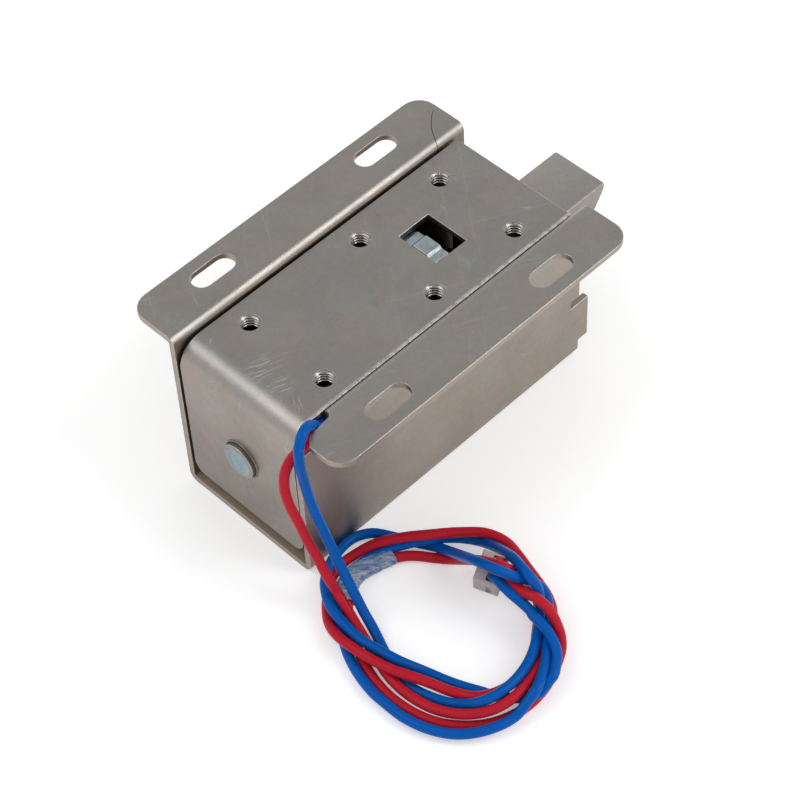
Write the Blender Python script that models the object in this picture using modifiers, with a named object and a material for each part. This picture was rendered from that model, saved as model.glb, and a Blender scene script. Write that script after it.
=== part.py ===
"""Small electronic lock: a pull solenoid in a folded steel case, with a sprung latch bolt and two leads."""

import math

import bmesh
import bpy
from mathutils import Vector

MM = 0.001

# Fits shared by the mating pieces
FIT = 0.3 * MM
SIDE_FIT = 0.4 * MM
SLIDE_FIT = 0.4 * MM

# Case: one folded sheet, open at the top, with a mounting flange along each side
SHEET = 1.0 * MM
CASE_WIDTH = 24.5 * MM
CASE_HEIGHT = 29.9 * MM
BASE_BEND = 1.0 * MM
FLANGE_BEND = 0.8 * MM
FLANGE_WIDTH = 8.05 * MM
FLANGE_SPAN = CASE_WIDTH + 2 * FLANGE_WIDTH
FLANGE_LENGTH = 55.4 * MM
FLANGE_CORNER = 3.0 * MM
WALL_SETBACK = 1.3 * MM
WALL_LENGTH = FLANGE_LENGTH - WALL_SETBACK
STRIP_BOTTOM = 20.6 * MM
TONGUE_PROUD = 0.6 * MM
TONGUE_LENGTH = FLANGE_LENGTH + TONGUE_PROUD
TONGUE_BOTTOM = 2.9 * MM
TONGUE_TOP = 10.9 * MM
RELIEF_TOP = 12.4 * MM
RELIEF_DEPTH = 1.8 * MM
SLOT_LENGTH = 7.2 * MM
SLOT_WIDTH = 3.2 * MM
SLOT_OFFSET = 4.45 * MM
SLOT_SPAN = CASE_WIDTH + 2 * SLOT_OFFSET
SLOT_MARGINS = (12.2 * MM, 12.3 * MM)
SLOT_PLACES = (SLOT_MARGINS[0], FLANGE_LENGTH - SLOT_MARGINS[1])
NOTCH_FLOOR = 25.0 * MM
NOTCH_LENGTH = 6.2 * MM
NOTCH_WIDTH = 4.2 * MM
# Shape of the notch from above: how far along and how far across its two corners lie, and their radii
NOTCH_INNER = (0.88, 0.62)
NOTCH_OUTER = (0.25, 0.72)
NOTCH_RADII = (0.2 * MM, 0.8 * MM, 0.8 * MM)

# Solenoid frame: end plate, soft bend and top plate in one sheet
END_PLATE_X = 0.2 * MM
FRAME_TOP = 28.6 * MM
FRAME_SETBACK = 0.6 * MM
FRAME_LENGTH = WALL_LENGTH - FRAME_SETBACK
FRAME_FOOT = 3.0 * MM
FRAME_BEND = 3.5 * MM
FRAME_CORNER = 2.0 * MM
HOLE_MARGINS = (9.9 * MM, 7.4 * MM)
HOLE_STEP = 15.6 * MM
HOLE_PLACES = (HOLE_MARGINS[0], FRAME_LENGTH - HOLE_MARGINS[1] - HOLE_STEP, FRAME_LENGTH - HOLE_MARGINS[1])
HOLE_INSET = 5.15 * MM
HOLE_SPAN = CASE_WIDTH - 2 * HOLE_INSET
HOLE_DIAMETER = 2.9 * MM

# Solenoid along the bolt's axis
AXIS_Z = 14.5 * MM
GUIDE_SETBACK = 3.5 * MM
CHAMBER_LENGTH = 15.8 * MM
BOLT_REAR = WALL_LENGTH - GUIDE_SETBACK
POLE_X = BOLT_REAR - CHAMBER_LENGTH
POLE_THICKNESS = 2.7 * MM
WINDOW_LENGTH = 5.7 * MM
TENON_WIDTH = 6.6 * MM
TENON_CROWN = 2.6 * MM
TENON_TOP = 28.2 * MM
TENON_LOBE = 0.4 * MM
CORE_PROUD = 0.8 * MM
CORE_NECK = 5.6 * MM
CORE_LENGTH = 12.1 * MM
BUMPER_THICKNESS = 0.7 * MM
PLUNGER_DIAMETER = 9.0 * MM
TUBE_WALL = 0.3 * MM
BARREL_WALL = 1.0 * MM
COIL_MARGIN = 0.95 * MM
COIL_DIAMETER = CASE_WIDTH - 2 * SHEET - 2 * COIL_MARGIN
TAPE_THICKNESS = 0.3 * MM
CHEEK_LIP = 0.3 * MM
BOBBIN_DIAMETER = COIL_DIAMETER + 2 * CHEEK_LIP
CHEEK_THICKNESS = 1.2 * MM

# Latch bolt and its guide
TRAVEL = 10.0 * MM
BOLT_WIDTH = 9.6 * MM
BOLT_HEIGHT = 11.2 * MM
BOLT_LENGTH = 17.05 * MM
BOLT_TIP = BOLT_REAR + BOLT_LENGTH
BOLT_NOSE = 1.3 * MM
BOLT_EDGE = 0.45 * MM
BOLT_SETBACK = 6.4 * MM
COLLAR_THICKNESS = 1.0 * MM
COLLAR_RIM = 0.9 * MM
GUIDE_THICKNESS = 1.2 * MM
SHANK_STEP = 1.5 * MM
SHANK_DIAMETER = PLUNGER_DIAMETER - 2 * SHANK_STEP
SHANK_REACH = 8.0 * MM
PIN_DIAMETER = 2.0 * MM
PIN_INSET = 2.4 * MM
SPRING_WIRE = 0.45 * MM
SPRING_TURNS = 4.2
SPRING_PLAY = 0.575 * MM
SPRING_DIAMETER = PLUNGER_DIAMETER + SPRING_WIRE + 2 * SPRING_PLAY

# Leads and plug
LEAD_DIAMETER = 1.45 * MM
LEAD_STEP = 3.6 * MM
SLEEVE_DIAMETER = 2.5 * MM
PLUG_LENGTH = 5.0 * MM
PLUG_WIDTH = 4.4 * MM
PLUG_THICKNESS = 3.6 * MM
PLUG_PITCH = 2.2 * MM
PLUG_CAVITY = 1.9 * MM
PLUG_EDGE = 0.2 * MM
PLUG_FACE = (14.3 * MM, -32.5 * MM, 6.2 * MM)
PLUG_TURN = (math.radians(112), math.radians(70), math.radians(45))
TERMINAL_LENGTH = 2.6 * MM
TERMINAL_WIDTH = 1.1 * MM

# Steps round a circle, a hole, a pin, each turn of the spring, and along bends and slot ends
ROUND_STEPS = 40
HOLE_STEPS = 24
PIN_STEPS = 20
SPRING_STEPS = 14
BEND_STEPS = 6
FRAME_STEPS = 8
NOTCH_STEPS = 4
SLOT_STEPS = 10
EDGE_STEPS = 2
TUBE_SIDES = 2
SMOOTH_ANGLE = math.radians(35.0)
QUARTER = math.radians(90.0)

# Leads, in millimetres from the case's end: from the winding out of the notch and down to the bundle
BLUE_ROUTE = [
    (10.1, -3.4, 25.7), (7.5, -7.1, 26.1), (6.1, -9.9, 26.4), (4.9, -11.7, 27.2), (3.5, -12.2, 28.9),
    (2.2, -12.4, 30.3), (0.6, -13.0, 30.9), (-0.8, -13.6, 29.8), (-1.2, -13.8, 27.5), (-1.0, -14.0, 23.6),
    (-0.8, -14.7, 19.2), (-0.5, -16.1, 14.7), (-0.2, -17.5, 10.7), (-0.1, -19.0, 7.3), (-0.2, -20.1, 5.7),
]
RED_ROUTE = [
    (10.6, -7.7, 23.2), (7.3, -8.9, 24.0), (4.8, -9.5, 24.8), (3.3, -11.0, 26.2), (2.0, -12.2, 26.9),
    (0.4, -12.5, 27.2), (-1.2, -12.2, 26.3), (-2.4, -12.1, 24.5), (-3.0, -12.4, 22.2), (-3.1, -13.1, 19.4),
    (-2.7, -14.0, 16.2), (-2.3, -15.2, 12.3), (-2.0, -16.6, 9.3), (-2.0, -18.0, 7.0), (-2.2, -19.0, 5.7),
]
# From the bundle to the plug
BLUE_TAIL = [
    (14.2, -37.1, 4.7), (13.4, -35.5, 6.0), (13.0, -34.2, 7.1), (13.0, -33.3, 7.2), (13.2, -33.0, 6.4),
]
RED_TAIL = [
    (15.7, -36.8, 5.5), (15.0, -34.9, 6.9), (14.8, -33.5, 8.0), (14.9, -32.6, 8.1), (15.2, -32.2, 7.2),
]
# Clear tape round two of the turns
SLEEVE_ROUTE = [(10.3, -20.3, 1.3), (7.6, -18.7, 1.3), (5.0, -18.2, 1.3), (3.0, -18.8, 1.3)]
# Bundle of the coiled turns: its middle, its width and its height, in millimetres
BUNDLE = [
    (-1.6, -18.8, 5.4, 4.6), (-3.8, -24.8, 7.2, 3.8), (-5.3, -31.9, 7.4, 3.6), (-3.9, -38.4, 9.0, 2.0),
    (-0.9, -43.2, 9.8, 2.0), (3.6, -46.2, 7.0, 3.5), (9.0, -45.9, 6.4, 3.6), (13.3, -43.2, 6.2, 5.0),
    (16.6, -39.4, 5.0, 4.6), (19.7, -33.8, 3.0, 3.4), (19.6, -27.5, 3.0, 3.4), (15.9, -22.2, 3.2, 3.4),
    (11.1, -17.2, 2.6, 3.4), (5.5, -14.9, 2.8, 3.0), (0.4, -15.7, 3.2, 3.0),
]
# The bundle's section, in shares of its width and height
BUNDLE_SECTION = [
    (-0.5, 0.3), (-0.3, 0.0), (0.3, 0.0), (0.5, 0.3), (0.5, 0.7), (0.3, 1.0), (-0.3, 1.0), (-0.5, 0.7),
]
MERGE = 0.01 * MM


def material(name, colour, roughness, metallic=0.0):
    """A plain surface of one colour."""
    surface = bpy.data.materials.new(name)
    surface.use_nodes = True
    shader = surface.node_tree.nodes["Principled BSDF"]
    shader.inputs["Base Color"].default_value = (*colour, 1.0)
    shader.inputs["Roughness"].default_value = roughness
    shader.inputs["Metallic"].default_value = metallic
    return surface


def cutters():
    """The collection of the shapes that only cut."""
    found = bpy.data.collections.get("cutters")
    if found is None:
        found = bpy.data.collections.new("cutters")
        bpy.context.scene.collection.children.link(found)
    return found


def placed(name, mesh, surface, parent, place=(0.0, 0.0, 0.0), turn=(0.0, 0.0, 0.0)):
    """A sub-part of the lock, in its collection."""
    thing = bpy.data.objects.new(name, mesh)
    bpy.data.collections["electronic_lock"].objects.link(thing)
    mesh.materials.append(surface)
    thing.parent = parent
    thing.location = place
    thing.rotation_euler = turn
    return thing


def cut(target, mesh, place=(0.0, 0.0, 0.0), turn=(0.0, 0.0, 0.0), operation="DIFFERENCE"):
    """Cuts a mesh's shape out of a sub-part, or joins it on."""
    tool = bpy.data.objects.new(target.name + "_cutter", mesh)
    cutters().objects.link(tool)
    tool.parent = target
    tool.location = place
    tool.rotation_euler = turn
    tool.hide_render = True
    tool.display_type = "WIRE"
    boolean = target.modifiers.new(tool.name, "BOOLEAN")
    boolean.operation = operation
    boolean.solver = "EXACT"
    boolean.object = tool


def finished(shape, name):
    """A mesh from a bmesh, with its faces pointing out."""
    bmesh.ops.recalc_face_normals(shape, faces=shape.faces)
    mesh = bpy.data.meshes.new(name)
    shape.to_mesh(mesh)
    shape.free()
    return mesh


def smoothed(thing):
    """Shades a round piece smooth and keeps its sharp edges."""
    thing.data.shade_smooth()
    thing.data.set_sharp_from_angle(angle=SMOOTH_ANGLE)


def block(name, size, middle):
    """A box."""
    shape = bmesh.new()
    bmesh.ops.create_cube(shape, size=1.0)
    bmesh.ops.scale(shape, vec=size, verts=shape.verts)
    bmesh.ops.translate(shape, vec=middle, verts=shape.verts)
    return finished(shape, name)


def rod(name, diameter, start, end, axis="X", steps=ROUND_STEPS):
    """A cylinder along one axis, between two stations on it."""
    shape = bmesh.new()
    bmesh.ops.create_cone(shape, cap_ends=True, segments=steps, radius1=diameter / 2, radius2=diameter / 2,
                          depth=end - start)
    along = {"X": Vector((1, 0, 0)), "Y": Vector((0, 1, 0)), "Z": Vector((0, 0, 1))}[axis]
    upright = Vector((0, 0, 1))
    bmesh.ops.rotate(shape, verts=shape.verts, matrix=upright.rotation_difference(along).to_matrix())
    bmesh.ops.translate(shape, vec=along * (start + end) / 2, verts=shape.verts)
    return finished(shape, name)


def prism(name, outline, depth, across="Y"):
    """A flat outline given a depth about its plane: XZ and Y, YZ and X, or XY and Z."""
    orders = {"Y": lambda u, w, d: (u, d, w), "X": lambda u, w, d: (d, u, w), "Z": lambda u, w, d: (u, w, d)}
    order = orders[across]
    shape = bmesh.new()
    face = shape.faces.new([shape.verts.new(order(u, w, -depth / 2)) for u, w in outline])
    grown = bmesh.ops.extrude_face_region(shape, geom=[face])
    moved = [v for v in grown["geom"] if isinstance(v, bmesh.types.BMVert)]
    bmesh.ops.translate(shape, vec=order(0.0, 0.0, depth), verts=moved)
    return finished(shape, name)


def turned(name, profile, steps=ROUND_STEPS):
    """A shape turned about the X axis from (station, radius) pairs."""
    shape = bmesh.new()
    points = [shape.verts.new((x, 0.0, r)) for x, r in profile]
    closed = profile[0][1] > 0.0
    pairs = list(zip(points, points[1:])) + ([(points[-1], points[0])] if closed else [])
    edges = [shape.edges.new(pair) for pair in pairs]
    bmesh.ops.spin(shape, geom=points + edges, cent=(0, 0, 0), axis=(1, 0, 0), angle=math.tau, steps=steps)
    bmesh.ops.remove_doubles(shape, verts=shape.verts, dist=MERGE)
    return finished(shape, name)


def rounded(corners, radius, steps=BEND_STEPS):
    """A line's inner corners turned into arcs; radius is one value or one for each inner corner."""
    radii = radius if isinstance(radius, (list, tuple)) else [radius] * (len(corners) - 2)
    line = [Vector(corners[0])]
    for before, corner, after, bend in zip(corners, corners[1:], corners[2:], radii):
        here = Vector(corner)
        back = (Vector(before) - here).normalized()
        ahead = (Vector(after) - here).normalized()
        half = back.angle(ahead) / 2
        middle = here + (back + ahead).normalized() * bend / math.sin(half)
        start = here + back * bend / math.tan(half) - middle
        sweep = math.pi - 2 * half
        sense = 1.0 if back.x * ahead.y - back.y * ahead.x < 0 else -1.0
        for k in range(steps + 1):
            angle = sense * sweep * k / steps
            turn = Vector((start.x * math.cos(angle) - start.y * math.sin(angle),
                           start.x * math.sin(angle) + start.y * math.cos(angle)))
            line.append(middle + turn)
    line.append(Vector(corners[-1]))
    return [tuple(point) for point in line]


def folded(name, line, start, end, along="X"):
    """A sheet folded along a line in the YZ plane and running along X, or in the XZ plane along Y."""
    place = {"X": lambda u, w, s: (s, u, w), "Y": lambda u, w, s: (u, s, w)}[along]
    shape = bmesh.new()
    near = [shape.verts.new(place(u, w, start)) for u, w in line]
    far = [shape.verts.new(place(u, w, end)) for u, w in line]
    for k in range(len(line) - 1):
        shape.faces.new((near[k], near[k + 1], far[k + 1], far[k]))
    mesh = bpy.data.meshes.new(name)
    shape.to_mesh(mesh)
    shape.free()
    return mesh


def thicken(thing, thickness):
    """Gives a sheet its thickness, half to each side."""
    solid = thing.modifiers.new("thickness", "SOLIDIFY")
    solid.thickness = thickness
    solid.offset = 0.0
    solid.use_even_offset = True


def stadium(middle, length, width):
    """The outline of a slot with round ends, along X."""
    x, y = middle
    reach = (length - width) / 2
    ends = [(x + reach, -QUARTER), (x - reach, QUARTER)]
    outline = []
    for centre, first in ends:
        for k in range(SLOT_STEPS + 1):
            angle = first + math.pi * k / SLOT_STEPS
            outline.append((centre + width / 2 * math.cos(angle), y + width / 2 * math.sin(angle)))
    return outline


def outer_case(surface, parent):
    """The case, folded from one sheet: base, walls and flanges, with slots, tongues and the lead notch."""
    wall = (CASE_WIDTH - SHEET) / 2
    top = CASE_HEIGHT - SHEET / 2
    base = SHEET / 2
    edge = FLANGE_SPAN / 2
    corners = [(-edge, top), (-wall, top), (-wall, base), (wall, base), (wall, top), (edge, top)]
    line = rounded(corners, [FLANGE_BEND, BASE_BEND, BASE_BEND, FLANGE_BEND])
    case = placed("outer_case", folded("outer_case", line, 0.0, TONGUE_LENGTH), surface, parent)
    thicken(case, SHEET)

    beyond = TONGUE_LENGTH + 2 * SHEET
    above = CASE_HEIGHT + 2 * SHEET
    relief = WALL_LENGTH - RELIEF_DEPTH
    upper = [
        (beyond, above), (FLANGE_LENGTH, above), (FLANGE_LENGTH, STRIP_BOTTOM + SHEET),
        (WALL_LENGTH, STRIP_BOTTOM), (WALL_LENGTH, RELIEF_TOP), (relief, RELIEF_TOP),
        (relief, TONGUE_TOP), (beyond, TONGUE_TOP),
    ]
    cut(case, prism("far_end_upper", upper, FLANGE_SPAN + 2 * SHEET))
    lower = [(beyond, TONGUE_BOTTOM), (WALL_LENGTH, TONGUE_BOTTOM), (WALL_LENGTH, -SHEET), (beyond, -SHEET)]
    cut(case, prism("far_end_lower", lower, FLANGE_SPAN + 2 * SHEET))

    for side in (-1.0, 1.0):
        for x, inward in ((0.0, 1.0), (FLANGE_LENGTH, -1.0)):
            outside = x - inward * SHEET
            corner = [(outside, side * (edge + SHEET)), (outside, side * (edge - FLANGE_CORNER))]
            for k in range(BEND_STEPS + 1):
                angle = QUARTER * k / BEND_STEPS
                corner.append((x + inward * FLANGE_CORNER * (1 - math.cos(angle)),
                               side * (edge - FLANGE_CORNER * (1 - math.sin(angle)))))
            corner.append((x + inward * FLANGE_CORNER, side * (edge + SHEET)))
            cut(case, prism("flange_corner", corner, 4 * SHEET, "Z"), (0.0, 0.0, CASE_HEIGHT))
        for x in SLOT_PLACES:
            slot = stadium((x, side * SLOT_SPAN / 2), SLOT_LENGTH, SLOT_WIDTH)
            cut(case, prism("slot", slot, 4 * SHEET, "Z"), (0.0, 0.0, CASE_HEIGHT))

    inner = -(CASE_WIDTH / 2 - 2 * SHEET)
    outer = inner - NOTCH_WIDTH
    corners = [(-SHEET, inner), (NOTCH_LENGTH, inner)]
    for along, across in (NOTCH_INNER, NOTCH_OUTER):
        corners.append((NOTCH_LENGTH * along, inner - NOTCH_WIDTH * across))
    corners.append((-SHEET, outer - SHEET))
    notch = rounded(corners, NOTCH_RADII, NOTCH_STEPS)
    height = CASE_HEIGHT + SHEET - NOTCH_FLOOR
    cut(case, prism("lead_notch", notch, height, "Z"), (0.0, 0.0, NOTCH_FLOOR + height / 2))
    smoothed(case)


def inner_frame(surface, parent):
    """The solenoid's frame: a top plate bent down into the end plate."""
    width = CASE_WIDTH - 2 * SHEET - 2 * SIDE_FIT
    end = END_PLATE_X + SHEET / 2
    top = FRAME_TOP - SHEET / 2
    line = rounded([(end, FRAME_FOOT), (end, top), (FRAME_LENGTH, top)], FRAME_BEND, FRAME_STEPS)
    frame = placed("inner_frame", folded("inner_frame", line, -width / 2, width / 2, "Y"), surface, parent)
    thicken(frame, SHEET)
    for side in (-1.0, 1.0):
        for x in HOLE_PLACES:
            hole = rod("tapped_hole", HOLE_DIAMETER, -2 * SHEET, 2 * SHEET, "Z", HOLE_STEPS)
            cut(frame, hole, (x, side * HOLE_SPAN / 2, FRAME_TOP - SHEET / 2))
        below = FRAME_FOOT - SHEET
        corner = [(side * (width / 2 + SHEET), below), (side * (width / 2 - FRAME_CORNER), below)]
        for k in range(BEND_STEPS + 1):
            angle = QUARTER * k / BEND_STEPS
            corner.append((side * (width / 2 - FRAME_CORNER * (1 - math.sin(angle))),
                           FRAME_FOOT + FRAME_CORNER * (1 - math.cos(angle))))
        corner.append((side * (width / 2 + SHEET), FRAME_FOOT + FRAME_CORNER))
        cut(frame, prism("foot_corner", corner, 4 * SHEET, "X"), (end, 0.0, 0.0))
    window = (WINDOW_LENGTH, TENON_WIDTH + 2 * FIT, 4 * SHEET)
    middle = (POLE_X - FIT + WINDOW_LENGTH / 2, 0.0, top)
    cut(frame, block("window", window, middle))
    neck = rod("neck_hole", CORE_NECK + 2 * FIT, -2 * SHEET, 2 * SHEET)
    cut(frame, neck, (end, 0.0, AXIS_Z))
    smoothed(frame)


def pole_plate(surface, parent):
    """The plate across the coil's front end, staked into the frame's window by its tenon."""
    half = CASE_WIDTH / 2 - SHEET - SIDE_FIT
    foot = SHEET + FIT
    shoulder = FRAME_TOP - SHEET - FIT
    tenon = TENON_WIDTH / 2
    crown = TENON_CROWN / 2
    lobe = TENON_TOP - TENON_LOBE
    outline = [
        (-half, foot), (half, foot), (half, shoulder), (tenon, shoulder), (tenon, lobe - TENON_LOBE),
        (tenon - TENON_LOBE, lobe), (crown + TENON_LOBE, lobe), (crown, TENON_TOP), (-crown, TENON_TOP),
        (-crown - TENON_LOBE, lobe), (TENON_LOBE - tenon, lobe), (-tenon, lobe - TENON_LOBE),
        (-tenon, shoulder), (-half, shoulder),
    ]
    place = (POLE_X + POLE_THICKNESS / 2, 0.0, 0.0)
    plate = placed("pole_plate", prism("pole_plate", outline, POLE_THICKNESS, "X"), surface, parent, place)
    bore = rod("plunger_bore", PLUNGER_DIAMETER + 2 * SLIDE_FIT, -POLE_THICKNESS, POLE_THICKNESS)
    cut(plate, bore, (0.0, 0.0, AXIS_Z))


def front_guide(surface, parent):
    """The plate at the mouth of the case, which guides the bolt and stops its collar."""
    half = CASE_WIDTH / 2 - SHEET - SIDE_FIT
    foot = SHEET + FIT
    head = FRAME_TOP - SHEET - FIT
    place = (BOLT_REAR + COLLAR_THICKNESS + FIT + GUIDE_THICKNESS / 2, 0.0, (foot + head) / 2)
    plate = placed("front_guide", block("front_guide", (GUIDE_THICKNESS, 2 * half, head - foot), (0, 0, 0)),
                   surface, parent, place)
    opening = (4 * GUIDE_THICKNESS, BOLT_WIDTH + 2 * SLIDE_FIT, BOLT_HEIGHT + 2 * SLIDE_FIT)
    cut(plate, block("bolt_opening", opening, (0.0, 0.0, AXIS_Z - place[2])))


def solenoid(surfaces, parent):
    """The coil on its bobbin, the fixed core and the guide tube, about one axis."""
    start = END_PLATE_X + SHEET + FIT
    end = POLE_X - FIT
    bore = PLUNGER_DIAMETER / 2 + SLIDE_FIT
    tube = bore + TUBE_WALL
    barrel = tube + FIT
    drum = barrel + BARREL_WALL
    cheek = CHEEK_THICKNESS
    rim = BOBBIN_DIAMETER / 2
    axis = (0.0, 0.0, AXIS_Z)

    neck = CORE_NECK / 2
    body = bore - FIT
    face = start + CORE_LENGTH
    core = [(END_PLATE_X - CORE_PROUD, 0.0), (END_PLATE_X - CORE_PROUD, neck), (start, neck), (start, body),
            (face, body), (face, 0.0)]
    smoothed(placed("fixed_core", turned("fixed_core", core), surfaces["core"], parent, axis))

    pad = rod("bumper", 2 * body - 2 * FIT, face + FIT, face + FIT + BUMPER_THICKNESS)
    smoothed(placed("bumper", pad, surfaces["rubber"], parent, axis))

    ring = [(start, bore), (start, tube), (end, tube), (end, bore)]
    smoothed(placed("guide_tube", turned("guide_tube", ring), surfaces["brass"], parent, axis))

    spool = [(start, barrel), (start, rim), (start + cheek, rim), (start + cheek, drum), (end - cheek, drum),
             (end - cheek, rim), (end, rim), (end, barrel)]
    smoothed(placed("bobbin", turned("bobbin", spool), surfaces["nylon"], parent, axis))

    first = start + cheek + FIT
    last = end - cheek - FIT
    tape = COIL_DIAMETER / 2
    wire = tape - TAPE_THICKNESS - FIT
    winding = [(first, drum + FIT), (first, wire), (last, wire), (last, drum + FIT)]
    smoothed(placed("coil_winding", turned("coil_winding", winding), surfaces["copper"], parent, axis))
    wrap = [(first, tape - TAPE_THICKNESS), (first, tape), (last, tape), (last, tape - TAPE_THICKNESS)]
    smoothed(placed("coil_tape", turned("coil_tape", wrap), surfaces["tape"], parent, axis))
    return face + FIT + BUMPER_THICKNESS + FIT


def latch(surfaces, parent, plunger_rear):
    """The bolt, its plunger and pin, which slide together, and the spring that pushes them out."""
    slider = bpy.data.objects.new("bolt_axis", None)
    bpy.data.collections["electronic_lock"].objects.link(slider)
    slider.parent = parent
    slider.location = (BOLT_REAR, 0.0, AXIS_Z)
    tip = BOLT_TIP - BOLT_REAR
    half = BOLT_HEIGHT / 2
    heel = tip - BOLT_SETBACK
    root = COLLAR_THICKNESS / 2
    outline = [(root, -half), (heel, -half), (tip, half - BOLT_NOSE), (tip, half), (root, half)]
    bolt = placed("latch_bolt", prism("latch_bolt", outline, BOLT_WIDTH), surfaces["bolt"], slider)
    edges = bolt.modifiers.new("edges", "BEVEL")
    edges.width = BOLT_EDGE
    edges.segments = EDGE_STEPS
    edges.limit_method = "WEIGHT"
    weights = bolt.data.attributes.new("bevel_weight_edge", "FLOAT", "EDGE")
    for edge, weight in zip(bolt.data.edges, weights.data):
        inside = all(bolt.data.vertices[k].co.x < COLLAR_THICKNESS for k in edge.vertices)
        weight.value = 0.0 if inside else 1.0
    bolt.modifiers.new("flat_faces", "TRIANGULATE")
    rim = (COLLAR_THICKNESS, BOLT_WIDTH + 2 * COLLAR_RIM + 2 * SLIDE_FIT, BOLT_HEIGHT + 2 * COLLAR_RIM)
    cut(bolt, block("collar", rim, (COLLAR_THICKNESS / 2, 0.0, 0.0)), operation="UNION")
    pin_x = PIN_INSET
    crossing = rod("pin_bore", PIN_DIAMETER + 2 * FIT, -BOLT_WIDTH, BOLT_WIDTH, "Y", PIN_STEPS)
    cut(bolt, crossing, (pin_x, 0.0, 0.0))
    cut(bolt, rod("shank_bore", SHANK_DIAMETER + 2 * FIT, -SHEET, SHANK_REACH + FIT))
    smoothed(bolt)

    body = PLUNGER_DIAMETER / 2
    shank = SHANK_DIAMETER / 2
    rear = plunger_rear + TRAVEL - BOLT_REAR
    profile = [
        (rear, 0.0), (rear, body), (-FIT, body), (-FIT, shank), (SHANK_REACH, shank), (SHANK_REACH, 0.0),
    ]
    plunger = placed("plunger", turned("plunger", profile), surfaces["plunger"], slider)
    crossing = rod("cross_hole", PIN_DIAMETER + 2 * FIT, -BOLT_WIDTH, BOLT_WIDTH, "Y", PIN_STEPS)
    cut(plunger, crossing, (pin_x, 0.0, 0.0))
    smoothed(plunger)

    pin = rod("bolt_pin", PIN_DIAMETER, FIT - BOLT_WIDTH / 2, BOLT_WIDTH / 2 - FIT, "Y", PIN_STEPS)
    smoothed(placed("bolt_pin", pin, surfaces["pin"], slider, (pin_x, 0.0, 0.0)))

    first = POLE_X + POLE_THICKNESS + FIT + SPRING_WIRE / 2
    last = BOLT_REAR - FIT - SPRING_WIRE / 2
    count = round(SPRING_TURNS * SPRING_STEPS)
    helix = []
    for k in range(count + 1):
        angle = math.tau * SPRING_TURNS * k / count
        helix.append((first + (last - first) * k / count, SPRING_DIAMETER / 2 * math.cos(angle),
                      AXIS_Z + SPRING_DIAMETER / 2 * math.sin(angle)))
    tube("return_spring", helix, SPRING_WIRE, surfaces["spring"], parent)


def tube(name, points, diameter, surface, parent):
    """A round tube along points, with flat ends."""
    curve = bpy.data.curves.new(name, "CURVE")
    curve.dimensions = "3D"
    curve.bevel_depth = diameter / 2
    curve.bevel_resolution = TUBE_SIDES
    curve.use_fill_caps = True
    line = curve.splines.new("POLY")
    line.points.add(len(points) - 1)
    for spot, point in zip(line.points, points):
        spot.co = (*point, 1.0)
    curve.materials.append(surface)
    thing = bpy.data.objects.new(name, curve)
    bpy.data.collections["electronic_lock"].objects.link(thing)
    thing.parent = parent
    return thing


def tangents(points):
    """The direction at each point of a route, weighted by the lengths on either side."""
    found = []
    for k, here in enumerate(points):
        before = points[max(k - 1, 0)]
        after = points[min(k + 1, len(points) - 1)]
        back = (here - before).length
        ahead = (after - here).length
        if back == 0.0 or ahead == 0.0:
            found.append((after - before) / (back + ahead))
        else:
            found.append(((after - here) / ahead * back + (here - before) / back * ahead) / (back + ahead))
    return found


def smooth_line(route, step):
    """Points about a step apart on a smooth curve through a route given in millimetres."""
    points = [Vector(point) * MM for point in route]
    slopes = tangents(points)
    line = [points[0]]
    for start, end, leave, arrive in zip(points, points[1:], slopes, slopes[1:]):
        length = (end - start).length
        parts = max(1, round(length / step))
        for k in range(1, parts + 1):
            t = k / parts
            line.append(start * (2 * t**3 - 3 * t**2 + 1) + leave * length * (t**3 - 2 * t**2 + t)
                        + end * (3 * t**2 - 2 * t**3) + arrive * length * (t**3 - t**2))
    return line


def bundle(surface, parent):
    """The coiled turns of both leads, as one solid of their outer shape."""
    shape = bmesh.new()
    count = len(BUNDLE)
    rings = []
    for k, (x, y, width, height) in enumerate(BUNDLE):
        before = Vector(BUNDLE[k - 1][:2])
        after = Vector(BUNDLE[(k + 1) % count][:2])
        ahead = (after - before).normalized()
        out = Vector((ahead.y, -ahead.x))
        ring = []
        for share, rise in BUNDLE_SECTION:
            spot = Vector((x, y)) + out * share * width
            ring.append(shape.verts.new(Vector((spot.x, spot.y, rise * height)) * MM))
        rings.append(ring)
    for ring, following in zip(rings, rings[1:] + rings[:1]):
        for k in range(len(ring)):
            nearby = (k + 1) % len(ring)
            shape.faces.new((ring[k], ring[nearby], following[nearby], following[k]))
    smoothed(placed("lead_bundle", finished(shape, "lead_bundle"), surface, parent))


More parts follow.
